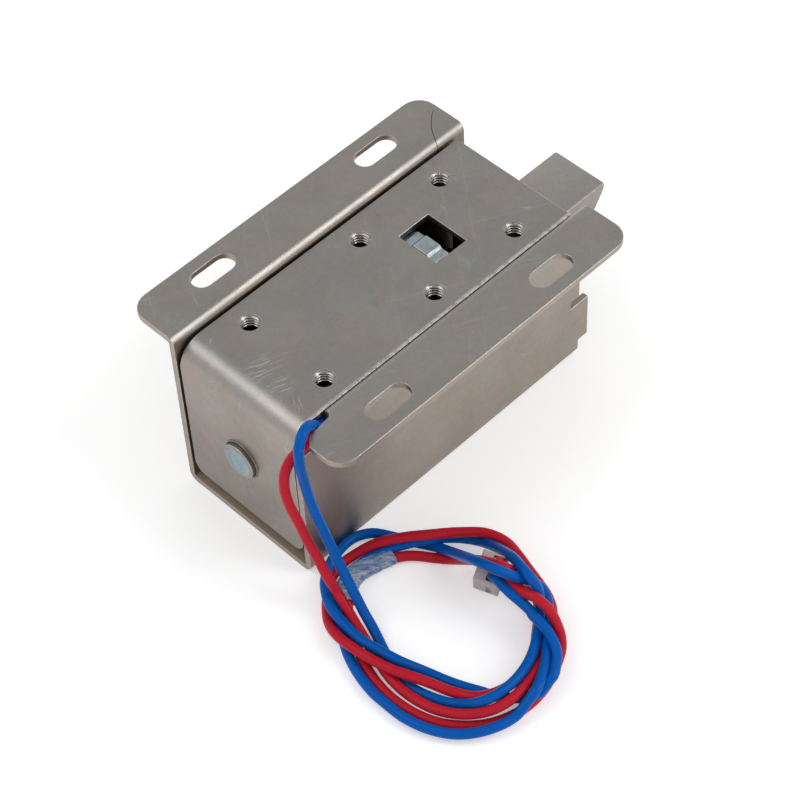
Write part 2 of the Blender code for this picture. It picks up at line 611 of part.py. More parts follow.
def leads(surfaces, parent):
    """Both leads, the clear tape round two turns, and the two-way plug."""
    for name, route, surface in (("blue_lead", BLUE_ROUTE, "blue"), ("red_lead", RED_ROUTE, "red"),
                                 ("blue_tail", BLUE_TAIL, "blue"), ("red_tail", RED_TAIL, "red")):
        tube(name, smooth_line(route, LEAD_STEP), LEAD_DIAMETER, surfaces[surface], parent)
    tube("lead_sleeve", smooth_line(SLEEVE_ROUTE, LEAD_STEP), SLEEVE_DIAMETER, surfaces["sleeve"], parent)
    bundle(surfaces["blue"], parent)

    middle = (PLUG_LENGTH / 2, 0.0, 0.0)
    housing = block("connector_housing", (PLUG_LENGTH, PLUG_WIDTH, PLUG_THICKNESS), middle)
    plug = placed("connector_housing", housing, surfaces["plug"], parent, PLUG_FACE, PLUG_TURN)
    edges = plug.modifiers.new("edges", "BEVEL")
    edges.width = PLUG_EDGE
    edges.segments = EDGE_STEPS
    for name, side in (("terminal_blue", -1.0), ("terminal_red", 1.0)):
        y = side * PLUG_PITCH / 2
        channel = block("channel", (4 * PLUG_LENGTH, PLUG_CAVITY, PLUG_CAVITY), (0.0, y, 0.0))
        cut(plug, channel)
        terminal = block(name, (TERMINAL_LENGTH, TERMINAL_WIDTH, TERMINAL_WIDTH), (0.0, 0.0, 0.0))
        depth = PLUG_LENGTH - TERMINAL_LENGTH / 2 - FIT
        metal = placed(name, terminal, surfaces["tin"], plug, (depth, y, 0.0))
        mouth = (TERMINAL_LENGTH, TERMINAL_WIDTH / 2, TERMINAL_WIDTH / 2)
        cut(metal, block("mouth", mouth, (TERMINAL_LENGTH / 2, 0.0, 0.0)))


def main():
    """Clears the scene and builds the lock."""
    for thing in list(bpy.data.objects):
        bpy.data.objects.remove(thing, do_unlink=True)
    bpy.context.scene.collection.children.link(bpy.data.collections.new("electronic_lock"))
    surfaces = {
        "nickel": material("satin nickel", (0.50, 0.47, 0.44), 0.38, 1.0),
        "frame": material("brushed nickel", (0.48, 0.46, 0.44), 0.36, 1.0),
        "zinc": material("blue zinc", (0.62, 0.70, 0.74), 0.35, 1.0),
        "guide": material("guide nickel", (0.45, 0.43, 0.41), 0.4, 1.0),
        "core": material("core zinc", (0.58, 0.66, 0.70), 0.35, 1.0),
        "plunger": material("plunger nickel", (0.52, 0.51, 0.50), 0.3, 1.0),
        "bolt": material("cast nickel", (0.50, 0.48, 0.46), 0.32, 1.0),
        "pin": material("pin steel", (0.55, 0.54, 0.53), 0.3, 1.0),
        "spring": material("spring steel", (0.42, 0.42, 0.43), 0.3, 1.0),
        "brass": material("brass", (0.70, 0.55, 0.28), 0.3, 1.0),
        "rubber": material("rubber", (0.03, 0.03, 0.03), 0.8),
        "nylon": material("nylon", (0.80, 0.78, 0.72), 0.5),
        "copper": material("enamelled copper", (0.45, 0.18, 0.08), 0.35, 0.7),
        "tape": material("coil tape", (0.62, 0.50, 0.20), 0.45),
        "blue": material("blue insulation", (0.01, 0.10, 0.38), 0.4),
        "red": material("red insulation", (0.43, 0.02, 0.03), 0.4),
        "sleeve": material("clear tape", (0.70, 0.78, 0.86), 0.25),
        "plug": material("plug nylon", (0.45, 0.41, 0.39), 0.5),
        "tin": material("tinned terminal", (0.66, 0.62, 0.55), 0.35, 1.0),
    }
    lock = bpy.data.objects.new("lock_origin", None)
    bpy.data.collections["electronic_lock"].objects.link(lock)
    lock.location = (-(END_PLATE_X - CORE_PROUD + BOLT_TIP) / 2, 0.0, 0.0)
    outer_case(surfaces["nickel"], lock)
    inner_frame(surfaces["frame"], lock)
    pole_plate(surfaces["zinc"], lock)
    front_guide(surfaces["guide"], lock)
    plunger_rear = solenoid(surfaces, lock)
    latch(surfaces, lock, plunger_rear)
    leads(surfaces, lock)


main()
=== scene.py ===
"""Small electronic lock on a white table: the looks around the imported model, as a Blender add-on."""

import math

import bmesh
import bpy
import numpy as np
from bpy.props import FloatProperty, FloatVectorProperty, IntProperty, PointerProperty
from mathutils import Euler, Matrix, Vector


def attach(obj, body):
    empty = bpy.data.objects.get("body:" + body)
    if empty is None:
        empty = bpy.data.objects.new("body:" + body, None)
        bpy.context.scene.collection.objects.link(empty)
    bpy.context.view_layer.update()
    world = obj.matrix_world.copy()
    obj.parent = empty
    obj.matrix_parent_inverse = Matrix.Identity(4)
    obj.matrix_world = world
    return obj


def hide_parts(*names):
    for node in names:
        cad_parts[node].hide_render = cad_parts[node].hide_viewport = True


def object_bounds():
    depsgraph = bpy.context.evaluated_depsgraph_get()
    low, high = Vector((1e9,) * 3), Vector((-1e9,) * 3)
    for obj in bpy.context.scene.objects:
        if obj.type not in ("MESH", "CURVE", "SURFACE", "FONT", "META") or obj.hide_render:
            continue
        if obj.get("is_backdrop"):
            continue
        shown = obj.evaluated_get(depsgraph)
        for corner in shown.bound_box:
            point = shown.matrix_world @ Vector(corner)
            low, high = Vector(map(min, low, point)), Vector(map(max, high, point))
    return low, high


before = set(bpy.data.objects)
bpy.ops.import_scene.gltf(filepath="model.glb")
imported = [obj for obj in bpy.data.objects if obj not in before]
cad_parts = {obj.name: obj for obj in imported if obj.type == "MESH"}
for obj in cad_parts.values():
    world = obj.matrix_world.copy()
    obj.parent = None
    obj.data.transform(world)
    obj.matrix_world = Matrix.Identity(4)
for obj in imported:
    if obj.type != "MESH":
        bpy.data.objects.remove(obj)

bl_info = {
    "name": "Electronic lock",
    "version": (1, 0, 0),
    "blender": (4, 5, 0),
    "location": "View3D > Sidebar > Lock",
    "description": "Builds the surfaces, leads and studio of a small electronic lock",
    "category": "Object",
}

MM = 0.001
LOCK = "lock_body"
BOLT = "bolt"

# The case's end in the model's frame, in millimetres; the routes below start from it
CASE_END = -33.525

# Leads out of the notch and down to the table
BLUE_ROUTE = [
    (10.1, -3.4, 25.7), (7.5, -7.1, 26.1), (6.1, -9.9, 26.4), (4.9, -11.7, 27.2), (3.5, -12.2, 28.9),
    (2.2, -12.4, 30.3), (0.6, -13.0, 30.9), (-0.8, -13.6, 29.8), (-1.2, -13.8, 27.5), (-1.0, -14.0, 23.6),
    (-0.8, -14.7, 19.2), (-0.5, -16.1, 14.7), (-0.2, -17.5, 10.7), (-0.1, -19.0, 7.3),
]
RED_ROUTE = [
    (10.6, -7.7, 23.2), (7.3, -8.9, 24.0), (4.8, -9.5, 24.8), (3.3, -11.0, 26.2), (2.0, -12.2, 26.9),
    (0.4, -12.5, 27.2), (-1.2, -12.2, 26.3), (-2.4, -12.1, 24.5), (-3.0, -12.4, 22.2),
    (-3.1, -13.1, 19.4), (-2.7, -14.0, 16.2), (-2.3, -15.2, 12.3), (-2.0, -16.6, 9.3), (-2.0, -18.0, 7.0),
]
# Into the plug, in millimetres along its own axes: depth, across its two ways, across its thickness
BLUE_TAIL = [(-1.05, -1.85, 2.1), (-0.95, -1.4, 1.3), (-0.6, -1.15, 0.85), (0.1, -1.1, 0.75),
             (0.9, -1.1, 0.75)]
RED_TAIL = [(-0.9, -0.35, 1.95), (-1.0, 0.2, 1.5), (-0.9, 0.8, 1.0), (-0.5, 1.05, 0.8),
            (0.1, 1.1, 0.75), (0.9, 1.1, 0.75)]
# Heights of a turn's middle above the table: lying on it, and on another turn
LOW, MIDDLE = 0.75, 2.3
# The turns on the table, by the place in the picture where each point shows and its height in millimetres
BLUE_TURNS = [
    (355, 595, 4.2), (363, 611, 2.4), (373, 629, 1.2), (386, 655, LOW), (405, 684, LOW), (430, 698, LOW),
    (455, 705, LOW), (482, 703, MIDDLE), (511, 686, MIDDLE), (527, 667, MIDDLE), (535, 648, MIDDLE),
    (538, 628, 2.7), (539, 611, 3.9), (537.5, 598, 5.0), (533, 588, 6.4), (526, 579.5, 7.2),
    (519, 571.5, 7.2), (511, 562, 6.2), (502, 554, 4.4), (490, 547, 2.2), (478, 543, LOW),
    (463, 541, LOW), (440, 541.5, LOW), (412, 545.6, LOW), (388, 552, LOW), (366, 562, LOW),
    (352, 573, LOW), (343, 585, LOW), (339, 598, LOW), (340, 614, LOW), (344, 634, LOW), (350, 655, LOW),
    (361, 675.5, LOW), (380, 698, LOW), (400, 714, LOW), (428, 728, LOW), (456, 733.5, LOW),
    (491, 728, LOW), (520, 712, LOW), (536, 690, MIDDLE), (545, 665, MIDDLE), (547, 643, MIDDLE),
    (548, 622, MIDDLE), (547, 604, 2.9), (543, 592, 3.5), (534, 584.5, 4.4), (522, 580.5, 5.8),
    (510, 576, 7.7), (498, 571, 8.9), (487, 566, 8.9), (476.5, 561, 7.7), (466, 556.5, 5.6),
    (455, 552, 3.6), (442, 547, 1.8), (427, 543, LOW), (410, 539.5, LOW), (391, 535, LOW),
    (372, 532.5, LOW), (354, 538, LOW), (339, 552, LOW), (329, 570, 1.4), (326, 588, MIDDLE),
    (331, 606, MIDDLE), (345, 624, MIDDLE), (361, 639, MIDDLE), (380, 650, MIDDLE), (399, 660, MIDDLE),
    (421, 669, LOW), (456, 683, LOW), (480, 690, LOW), (503, 696, LOW), (524, 694.5, LOW),
    (540, 689, LOW), (550.5, 678, 1.8), (554.5, 664, MIDDLE), (556, 649, 2.8), (552, 636, 3.6),
    (545, 624, 4.5), (535, 613, 5.2), (523, 603, 5.6), (511, 593.5, 6.0),
]
RED_TURNS = [
    (338, 593, 3.9), (350, 614, 1.9), (362, 634, 1.2), (374, 653, LOW), (391, 678, LOW), (415, 698, LOW),
    (439, 709, LOW), (465, 712.5, LOW), (491, 708, LOW), (512, 696, LOW), (530, 677, LOW),
    (540, 658, LOW), (546, 640, LOW), (550, 625, LOW), (551.5, 610, LOW), (547, 597, LOW),
    (538, 584, LOW), (528, 571, LOW), (518, 558, 1.2), (506, 545, 1.9), (488, 536.5, MIDDLE),
    (460, 534.5, MIDDLE), (430, 536, MIDDLE), (400, 539, 1.95), (372, 546, 1.4), (355, 555, LOW),
    (341, 565, LOW), (332, 578, LOW), (328, 594, LOW), (327.5, 610, LOW), (330, 624, 1.2),
    (338, 635.5, 1.9), (353, 647.5, MIDDLE), (370, 658.5, MIDDLE), (388, 668, MIDDLE), (406, 675, MIDDLE),
    (428, 683, 1.6), (456, 694, LOW), (478, 698, LOW), (500, 692, LOW), (516, 682, LOW), (528, 668, LOW),
    (534, 651, LOW), (536, 632, LOW), (537.5, 615, LOW), (536, 602, 1.2), (530, 590, 2.6),
    (520.5, 579, 4.8), (510, 572, 6.8), (499, 566.5, 8.4), (487.5, 562.5, 8.3), (476, 559.5, 6.9),
    (466, 558, 4.9), (455, 557, 2.9), (443, 556, 1.4), (430, 554.5, LOW), (417, 553, LOW),
    (404, 553, LOW), (388, 557, LOW), (367, 567, LOW), (353, 579, LOW), (346, 596, LOW), (347, 622, LOW),
    (357, 652, LOW), (370, 675, LOW), (388, 695, LOW), (412, 711, LOW), (435, 720, LOW), (460, 723, LOW),
    (487, 720, LOW), (508, 712, LOW), (530, 697, LOW), (546, 679, LOW), (554, 663, LOW), (559, 648, 1.6),
    (558.5, 635, 3.0), (554, 623, 4.4), (548, 612.5, 5.6), (539, 603.5, 6.5), (529, 596, 6.6),
    (519, 589, 6.4), (510.5, 582, 6.3),
]

# The camera that took the picture: its place, how it is turned and its lens
CAMERA_PLACE = (-0.15762, -0.166394, 0.275695)
AZIMUTH, ELEVATION, ROLL = -42.732, 50.514, -3.3
LENS, SENSOR = 111.64, 36.0
PICTURE = 800

# The plug: where its face is and how it is turned
PLUG_FACE = (14.3, -32.5, 6.2)
PLUG_TURN = (math.radians(112), math.radians(70), math.radians(45))


def from_case(points):
    """Points given in millimetres from the case's end, as metres in the model's frame."""
    return np.array([(x + CASE_END, y, z) for x, y, z in points], float) * MM


def camera_axes(azimuth, elevation, roll):
    """The camera's right, up and backward directions."""
    a, e, r = (math.radians(value) for value in (azimuth, elevation, roll))
    back = Vector((math.sin(a) * math.cos(e), -math.cos(a) * math.cos(e), math.sin(e)))
    level = Vector((math.cos(a), math.sin(a), 0.0))
    right = level * math.cos(r) + back.cross(level) * math.sin(r)
    return right, back.cross(right), back


def seen_at(points):
    """Points given by place in the picture and height in millimetres, as metres in the model's frame."""
    right, up, back = camera_axes(AZIMUTH, ELEVATION, ROLL)
    place = Vector(CAMERA_PLACE)
    scale = SENSOR / PICTURE / LENS
    found = []
    for across, down, height in points:
        ray = right * (across - PICTURE / 2) * scale - up * (down - PICTURE / 2) * scale - back
        found.append(place + ray * (height * MM - place.z) / ray.z)
    return np.array(found)


def plug_frame():
    """The plug's own axes, from the middle of its face: depth, across its two ways, across its thickness."""
    return Matrix.Translation(from_case([PLUG_FACE])[0]) @ Euler(PLUG_TURN).to_matrix().to_4x4()


def in_plug(points):
    """Points given in millimetres along the plug's own axes, as metres in the model's frame."""
    placed = plug_frame()
    return np.array([placed @ (Vector(point) * MM) for point in points])


# The finishes: the effect on each, its colour, its roughness, how metallic it is and the effect's own values
# Painted shade: the upright values tint upright faces darker and warmer, and the low shade darkens them
# towards the bottom.
FINISHES = {
    "satin_nickel": ("Plated metal", (0.375, 0.352, 0.322), 0.34, 1.0,
                     {"Mottle": 0.45, "Rolling": 0.12, "Scratches": 0.5, "Wear": 1.3,
                      "Upright shade tint": (0.93, 0.86, 0.80, 1.0)}),
    "frame_nickel": ("Plated metal", (0.365, 0.347, 0.325), 0.32, 1.0,
                     {"Mottle": 0.5, "Rolling": 0.15, "Scratches": 0.7, "Wear": 1.3, "Low shade": 0.26,
                      "Upright shade tint": (0.88, 0.815, 0.76, 1.0)}),
    "cast_nickel": ("Plated metal", (0.375, 0.36, 0.34), 0.33, 1.0,
                    {"Mottle": 0.5, "Rolling": 0.1, "Scratches": 0.5, "Wear": 0.9,
                     "Upright shade tint": (0.84, 0.79, 0.75, 1.0)}),
    "guide_nickel": ("Plated metal", (0.3, 0.28, 0.26), 0.4, 1.0,
                     {"Mottle": 0.5, "Rolling": 0.3, "Scratches": 0.3}),
    "ground_nickel": ("Plated metal", (0.42, 0.41, 0.40), 0.26, 1.0),
    "blue_zinc": ("Plated metal", (0.40, 0.46, 0.48), 0.4, 1.0,
                  {"Mottle": 2.6, "Rolling": 0.1, "Scratches": 0.8, "Wear": 1.3}),
    "core_zinc": ("Plated metal", (0.31, 0.41, 0.45), 0.42, 1.0,
                  {"Mottle": 1.2, "Rolling": 0.0, "Scratches": 0.4, "Wear": 0.3}),
    # The staked bead's dark colour is painted shade where the core's neck meets the plate.
    "staked_zinc_shaded": ("Plated metal", (0.20, 0.20, 0.18), 0.35, 1.0),
    "thread_steel": ("Plated metal", (0.33, 0.31, 0.29), 0.27, 1.0, {"Wear": 1.0, "Mottle": 0.3}),
    "spring_wire": ("Plated metal", (0.36, 0.36, 0.37), 0.25, 1.0),
    "drawn_brass": ("Plated metal", (0.62, 0.44, 0.18), 0.3, 1.0),
    "terminal_gold": ("Plated metal", (0.70, 0.50, 0.20), 0.3, 1.0, {"Wear": 0.6}),
    "natural_nylon": ("Moulded", (0.70, 0.67, 0.58), 0.45),
    "plug_nylon": ("Moulded", (0.47, 0.41, 0.405), 0.45, 0.0, {"Grain": 0.5}),
    "enamelled_wire": ("Moulded", (0.40, 0.12, 0.04), 0.3, 0.6),
    "dark_tape": ("Moulded", (0.05, 0.036, 0.02), 0.35),
    "black_rubber": ("Moulded", (0.02, 0.02, 0.02), 0.7),
    "clear_film": ("Moulded", (0.10, 0.27, 0.58), 0.2, 0.0, {"Grain": 0.9}),
}


# Settings


class StageSettings(bpy.types.PropertyGroup):
    """Where the camera stands and how the studio is lit."""
    camera_place: FloatVectorProperty(name="Camera place", description="Where the camera stands",
                                      subtype="XYZ", unit="LENGTH", default=CAMERA_PLACE)
    azimuth: FloatProperty(name="Azimuth", description="Side that the camera looks from, in degrees",
                           default=AZIMUTH)
    elevation: FloatProperty(name="Elevation", description="How far down it looks, in degrees",
                             default=ELEVATION)
    roll: FloatProperty(name="Roll", description="Turn about its own line of sight, in degrees",
                        default=ROLL)
    lens: FloatProperty(name="Lens", description="Focal length in millimetres on a 36 mm sensor",
                        default=LENS)
    overhead: FloatProperty(name="Overhead level", description="Brightness of the studio's ceiling",
                            default=0.52)
    horizon: FloatProperty(name="Horizon level", description="Brightness of the studio's walls", default=0.9)
    key: FloatProperty(name="Key light", description="Power of the large soft light", unit="POWER",
                       default=0.9)
    fill: FloatProperty(name="Fill light", description="Power of the soft light opposite", unit="POWER",
                        default=1.6)


class LeadSettings(bpy.types.PropertyGroup):
    """The two leads and how their turns lie."""
    diameter: FloatProperty(name="Diameter", description="Outer diameter of each lead", unit="LENGTH",
                            default=0.00145)
    blue_length: FloatProperty(name="Blue length", description="Length of the blue lead", unit="LENGTH",
                               default=0.294)
    red_length: FloatProperty(name="Red length", description="Length of the red lead", unit="LENGTH",
                              default=0.281)
    step: FloatProperty(name="Step", description="Distance between the points of a lead", unit="LENGTH",
                        default=0.0007)
    rounds: IntProperty(name="Rounds", description="Rounds in which touching turns are pushed apart",
                        default=240)
    blue_colour: FloatVectorProperty(name="Blue", description="Colour of the blue insulation",
                                     subtype="COLOR", default=(0.0, 0.100, 0.44))
    red_colour: FloatVectorProperty(name="Red", description="Colour of the red insulation",
                                    subtype="COLOR", default=(0.51, 0.014, 0.031))
    roughness: FloatProperty(name="Roughness", description="Roughness of the insulation", default=0.22)


class MetalSettings(bpy.types.PropertyGroup):
    """The plated sheets, the bolt and the threads."""
    case_colour: FloatVectorProperty(name="Case", description="Colour of the case's nickel", subtype="COLOR",
                                     default=FINISHES["satin_nickel"][1])
    frame_colour: FloatVectorProperty(name="Frame", description="Colour of the frame's nickel",
                                      subtype="COLOR", default=FINISHES["frame_nickel"][1])
    edge: FloatProperty(name="Edge", description="Width of a sheet's rounded edge", unit="LENGTH",
                        default=0.00012)
    core_edge: FloatProperty(name="Core edge", description="Width of the rounded edge on the core's end",
                             unit="LENGTH", default=0.00026)
    thread_pitch: FloatProperty(name="Thread pitch", description="Pitch of the tapped holes", unit="LENGTH",
                                default=0.0005)
    thread_depth: FloatProperty(name="Thread depth", description="Depth of the thread", unit="LENGTH",
                                default=0.0003)


# Curves


def tangents(points):
    """The direction at each point of a route, weighted by the lengths on either side."""
    found = np.zeros_like(points)
    gaps = np.linalg.norm(np.diff(points, axis=0), axis=1)[:, None]
    steps = np.diff(points, axis=0) / gaps
    found[1:-1] = (steps[1:] * gaps[:-1] + steps[:-1] * gaps[1:]) / (gaps[1:] + gaps[:-1])
    found[0] = steps[0]
    found[-1] = steps[-1]
    return found


def smooth_line(points, step):
    """Points a step apart on a smooth curve through a route."""
    slopes = tangents(points)
    line = [points[0]]
    for start, end, leave, arrive in zip(points, points[1:], slopes, slopes[1:]):
        length = np.linalg.norm(end - start)
        parts = max(1, round(length / step))
        for k in range(1, parts + 1):
            t = k / parts
            line.append(start * (2 * t**3 - 3 * t**2 + 1) + leave * length * (t**3 - 2 * t**2 + t)
                        + end * (3 * t**2 - 2 * t**3) + arrive * length * (t**3 - t**2))
    return np.array(line)


def evenly(line, step):
    """A line's points put a step apart."""
    along = np.concatenate([[0.0], np.cumsum(np.linalg.norm(np.diff(line, axis=0), axis=1))])
    places = np.linspace(0.0, along[-1], round(along[-1] / step) + 1)
    return np.stack([np.interp(places, along, line[:, k]) for k in range(3)], axis=1)


def coiled_line(start, turns, end, step):
    """A lead's line: its free start, its turns on the table, and its tail."""
    route = np.concatenate([from_case(start), seen_at(turns), in_plug(end)])
    return evenly(smooth_line(route, step / 3), step)


# How the turns settle, in steps: neighbours that never touch, those held at the plug and those that give way
NEIGHBOURS, HELD, GIVING = 9, 7, 6
# How close two turns come, in diameters, and how strongly they part
CONTACT, PUSH = 1.02, 0.5
# Over how many steps a move spreads across the line of sight and along it, and how much easier it is along
SPREAD_ACROSS, SPREAD_ALONG, TOWARD = 25, 15, 5.0
# How much moves are evened out, and how much they are pulled back to the traced place
EVENING, PULL = 0.12, 0.006
# The least gap that is divided by, in metres
LEAST_GAP = 1e-7


def evened(moves):
    """Smooths the moves along a lead, more across the line of sight than along it."""
    smooth = []
    for k, width in enumerate((SPREAD_ACROSS, SPREAD_ACROSS, SPREAD_ALONG)):
        kernel = np.hanning(width + 2)[1:-1]
        padded = np.pad(moves[:, k], (width // 2, width // 2), mode="edge")
        smooth.append(np.convolve(padded, kernel / kernel.sum(), mode="valid"))
    return np.stack(smooth, axis=1)


def settled(lines, diameter, rounds):
    """Leads whose turns lie on each other and on the table, each still where the picture shows it."""
    axes = np.array(camera_axes(AZIMUTH, ELEVATION, ROLL))
    sizes = [len(line) for line in lines]
    cuts = np.cumsum(sizes)[:-1]
    owner = np.repeat(np.arange(len(lines)), sizes)
    place = np.concatenate([np.arange(size) for size in sizes])
    left = np.concatenate([size - 1 - np.arange(size) for size in sizes])
    free = np.clip(np.minimum(place, left - HELD) / GIVING, 0.0, 1.0)[:, None]
    apart = (owner[:, None] == owner[None]) & (np.abs(place[:, None] - place[None]) < NEIGHBOURS)
    apart |= (free == 0.0) & (free.T == 0.0)
    traced = np.concatenate(lines)
    moved = np.zeros_like(traced)
    for _ in range(rounds):
        points = traced + moved @ axes
        gaps = points[:, None] - points[None]
        short = np.clip(diameter * CONTACT - np.linalg.norm(gaps, axis=2), 0.0, None)
        short[apart] = 0.0
        gaps = gaps @ axes.T * (1.0, 1.0, TOWARD)
        wide = np.maximum(np.linalg.norm(gaps, axis=2), LEAST_GAP)
        push = (gaps * (short / wide)[..., None]).sum(axis=1) * PUSH
        parts = []
        for part, shift in zip(np.split(push, cuts), np.split(moved, cuts)):
            shift = shift + evened(part)
            parts.append(shift + (evened(shift) - shift) * EVENING)
        moved = np.concatenate(parts) * free
        moved[:, :2] *= 1.0 - PULL
        sunk = diameter / 2 - (traced + moved @ axes)[:, 2]
        moved[:, 2] += np.clip(sunk, 0.0, None) / axes[2, 2]
    return np.split(traced + moved @ axes, cuts)


# Meshes

# Points closer than the first are one, in metres; faces within the second, in degrees, are one flat face
WELD, FLAT = 1e-6, 0.5
# Edges that turn by more than this, in degrees, are sharp: on most pieces, on a wrapped one and on a thread
SHARP, SHARP_ROUND, SHARP_THREAD = 30.0, 60.0, 50.0
# Points round a turned or wrapped piece, and where they are
ROUND = 48
ANGLES = [math.tau * k / ROUND for k in range(ROUND)]


def linked(name, data):
    """An object in the scene."""
    thing = bpy.data.objects.new(name, data)
    bpy.context.scene.collection.objects.link(thing)
    return thing


def mesh_of(name, shape, sharp=SHARP):
    """A smooth-shaded mesh from a bmesh, with its sharper edges kept."""
    bmesh.ops.recalc_face_normals(shape, faces=shape.faces)
    mesh = bpy.data.meshes.new(name)
    shape.to_mesh(mesh)
    shape.free()
    mesh.shade_smooth()
    mesh.set_sharp_from_angle(angle=math.radians(sharp))
    return mesh


def skinned(shape, rings, closed=False, capped=False):
    """A skin over rings of points; a closed one joins the last ring to the first, a capped one fills both."""
    made = [[shape.verts.new(point) for point in ring] for ring in rings]
    for ring, following in zip(made, [*made[1:], made[0]] if closed else made[1:]):
        for j, corner in enumerate(ring):
            k = (j + 1) % len(ring)
            shape.faces.new((corner, ring[k], following[k], following[j]))
    for ring in (made[0], made[-1]) if capped else ():
        shape.faces.new(ring)
    return shape


def baked(thing):
    """Applies an object's modifiers."""
    mesh = bpy.data.meshes.new_from_object(thing.evaluated_get(bpy.context.evaluated_depsgraph_get()))
    thing.modifiers.clear()
    thing.data = mesh
    return thing


def softened(name, made, edge, body=LOCK):
    """A copy of a CAD node with its sharp edges rounded, which stands for it."""
    shape = bmesh.new()
    shape.from_mesh(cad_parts[name].data)
    bmesh.ops.remove_doubles(shape, verts=shape.verts, dist=WELD)
    bmesh.ops.dissolve_limit(shape, angle_limit=math.radians(FLAT), verts=shape.verts, edges=shape.edges)
    weight = shape.edges.layers.float.new("bevel_weight_edge")
    for side in shape.edges:
        if len(side.link_faces) == 2 and side.calc_face_angle() > math.radians(SHARP):
            side[weight] = 1.0
    thing = linked(name + "_shell", mesh_of(name + "_shell", shape))
    bevel = thing.modifiers.new("edges", "BEVEL")
    bevel.width = edge
    bevel.segments = 3
    bevel.limit_method = "WEIGHT"
    bevel.use_clamp_overlap = False
    bevel.harden_normals = True
    baked(thing)
    thing.data.materials.clear()
    thing.data.materials.append(made)
    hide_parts(name)
    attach(thing, body)
    return thing


def painted(name, made):
    """Gives a CAD node a material."""
    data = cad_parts[name].data
    data.materials.clear()
    data.materials.append(made)


# Node graphs

# What each shared effect puts out
OUTPUTS = {"Colour": "NodeSocketColor", "Roughness": "NodeSocketFloat", "Normal": "NodeSocketVector"}
WHITE = (1.0, 1.0, 1.0, 1.0)


def group(name, values):
    """A node group whose inputs have the given values, with what it is given and what it puts out."""
    tree = bpy.data.node_groups.new(name, "ShaderNodeTree")
    for label, value in values.items():
        kind = "NodeSocketColor" if isinstance(value, tuple) else "NodeSocketFloat"
        tree.interface.new_socket(name=label, in_out="INPUT", socket_type=kind).default_value = value
    for label, kind in OUTPUTS.items():
        tree.interface.new_socket(name=label, in_out="OUTPUT", socket_type=kind)
    return tree, tree.nodes.new("NodeGroupInput").outputs, tree.nodes.new("NodeGroupOutput").inputs


def node(tree, kind, inputs=None, **settings):
    """A node with its settings and its inputs, each a value or another node's output."""
    made = tree.nodes.new(kind)
    for key, value in settings.items():
        setattr(made, key, value)
    for key, value in (inputs or {}).items():
        if isinstance(value, bpy.types.NodeSocket):
            tree.links.new(value, made.inputs[key])
        else:
            made.inputs[key].default_value = value
    return made


def maths(tree, operation, *values):
    """Numbers taken together by one operation, from the first on."""
    result = values[0]
    for value in values[1:] or [0.0]:
        result = node(tree, "ShaderNodeMath", {0: result, 1: value}, operation=operation).outputs[0]
    return result


def plus(tree, *values):
    """Numbers added up."""
    return maths(tree, "ADD", *values)


def times(tree, *values):
    """Numbers multiplied."""
    return maths(tree, "MULTIPLY", *values)


def greatest(tree, *values):
    """The greatest of some numbers."""
    return maths(tree, "MAXIMUM", *values)


def swung(tree, value, share):
    """How far a value is from the middle of 0 and 1, times a share."""
    return times(tree, maths(tree, "SUBTRACT", value, 0.5), share)


def vector(tree, operation, first, second):
    """Two places or colours taken together by one operation."""
    return node(tree, "ShaderNodeVectorMath", {0: first, 1: second}, operation=operation).outputs[0]


def scaled(tree, colour, share):
    """A colour times a number."""
    return node(tree, "ShaderNodeVectorMath", {0: colour, "Scale": share}, operation="SCALE").outputs[0]


def part_of(tree, place, axis):
    """One of a place's three numbers."""
    return node(tree, "ShaderNodeSeparateXYZ", {0: place}).outputs[axis]


def in_millimetres(tree, scale=(1.0, 1.0, 1.0), turn=(0.0, 0.0, 0.0)):
    """Place on the object in millimetres, turned and stretched by a scale."""
    place = node(tree, "ShaderNodeTexCoord").outputs["Object"]
    turned = node(tree, "ShaderNodeMapping", {"Vector": place, "Rotation": turn}).outputs[0]
    return vector(tree, "MULTIPLY", turned, tuple(value / MM for value in scale))


def noise(tree, place, scale, detail=3.0, roughness=0.5, distortion=0.0):
    """Noise of a scale in waves for each millimetre."""
    return node(tree, "ShaderNodeTexNoise", {"Vector": place, "Scale": scale, "Detail": detail,
                                             "Roughness": roughness, "Distortion": distortion}).outputs["Fac"]


def ranged(tree, value, low, high, to_low=0.0, to_high=1.0):
    """A value stretched from one range to another and held inside it."""
    return node(tree, "ShaderNodeMapRange", {"Value": value, "From Min": low, "From Max": high,
                                             "To Min": to_low, "To Max": to_high}).outputs[0]


def blended(tree, share, first, second):
    """Two colours mixed."""
    colours = [colour if isinstance(colour, bpy.types.NodeSocket) else (*colour, 1.0)
               for colour in (first, second)]
    return node(tree, "ShaderNodeMix", {"Factor": share, 6: colours[0], 7: colours[1]},
                data_type="RGBA").outputs[2]


def distance(tree, place, centre, stretch=(1.0, 1.0, 1.0)):
    """How far a place is from a point, both in millimetres, with each axis stretched."""
    apart = vector(tree, "MULTIPLY", vector(tree, "SUBTRACT", place, centre), stretch)
    return node(tree, "ShaderNodeVectorMath", {0: apart}, operation="LENGTH").outputs["Value"]


def near(tree, place, centre, reach):
    """A soft mask that is 1 near a point, given in millimetres."""
    return ranged(tree, distance(tree, place, centre), reach * 0.7, reach, 1.0, 0.0)


def ringed(tree, place, centre, radius, width, stretch=(1.0, 1.0, 0.0)):
    """A mask of a thin ring round a point, given in millimetres."""
    off = maths(tree, "ABSOLUTE", maths(tree, "SUBTRACT", distance(tree, place, centre, stretch), radius))
    return ranged(tree, off, width * 0.4, width, 1.0, 0.0)


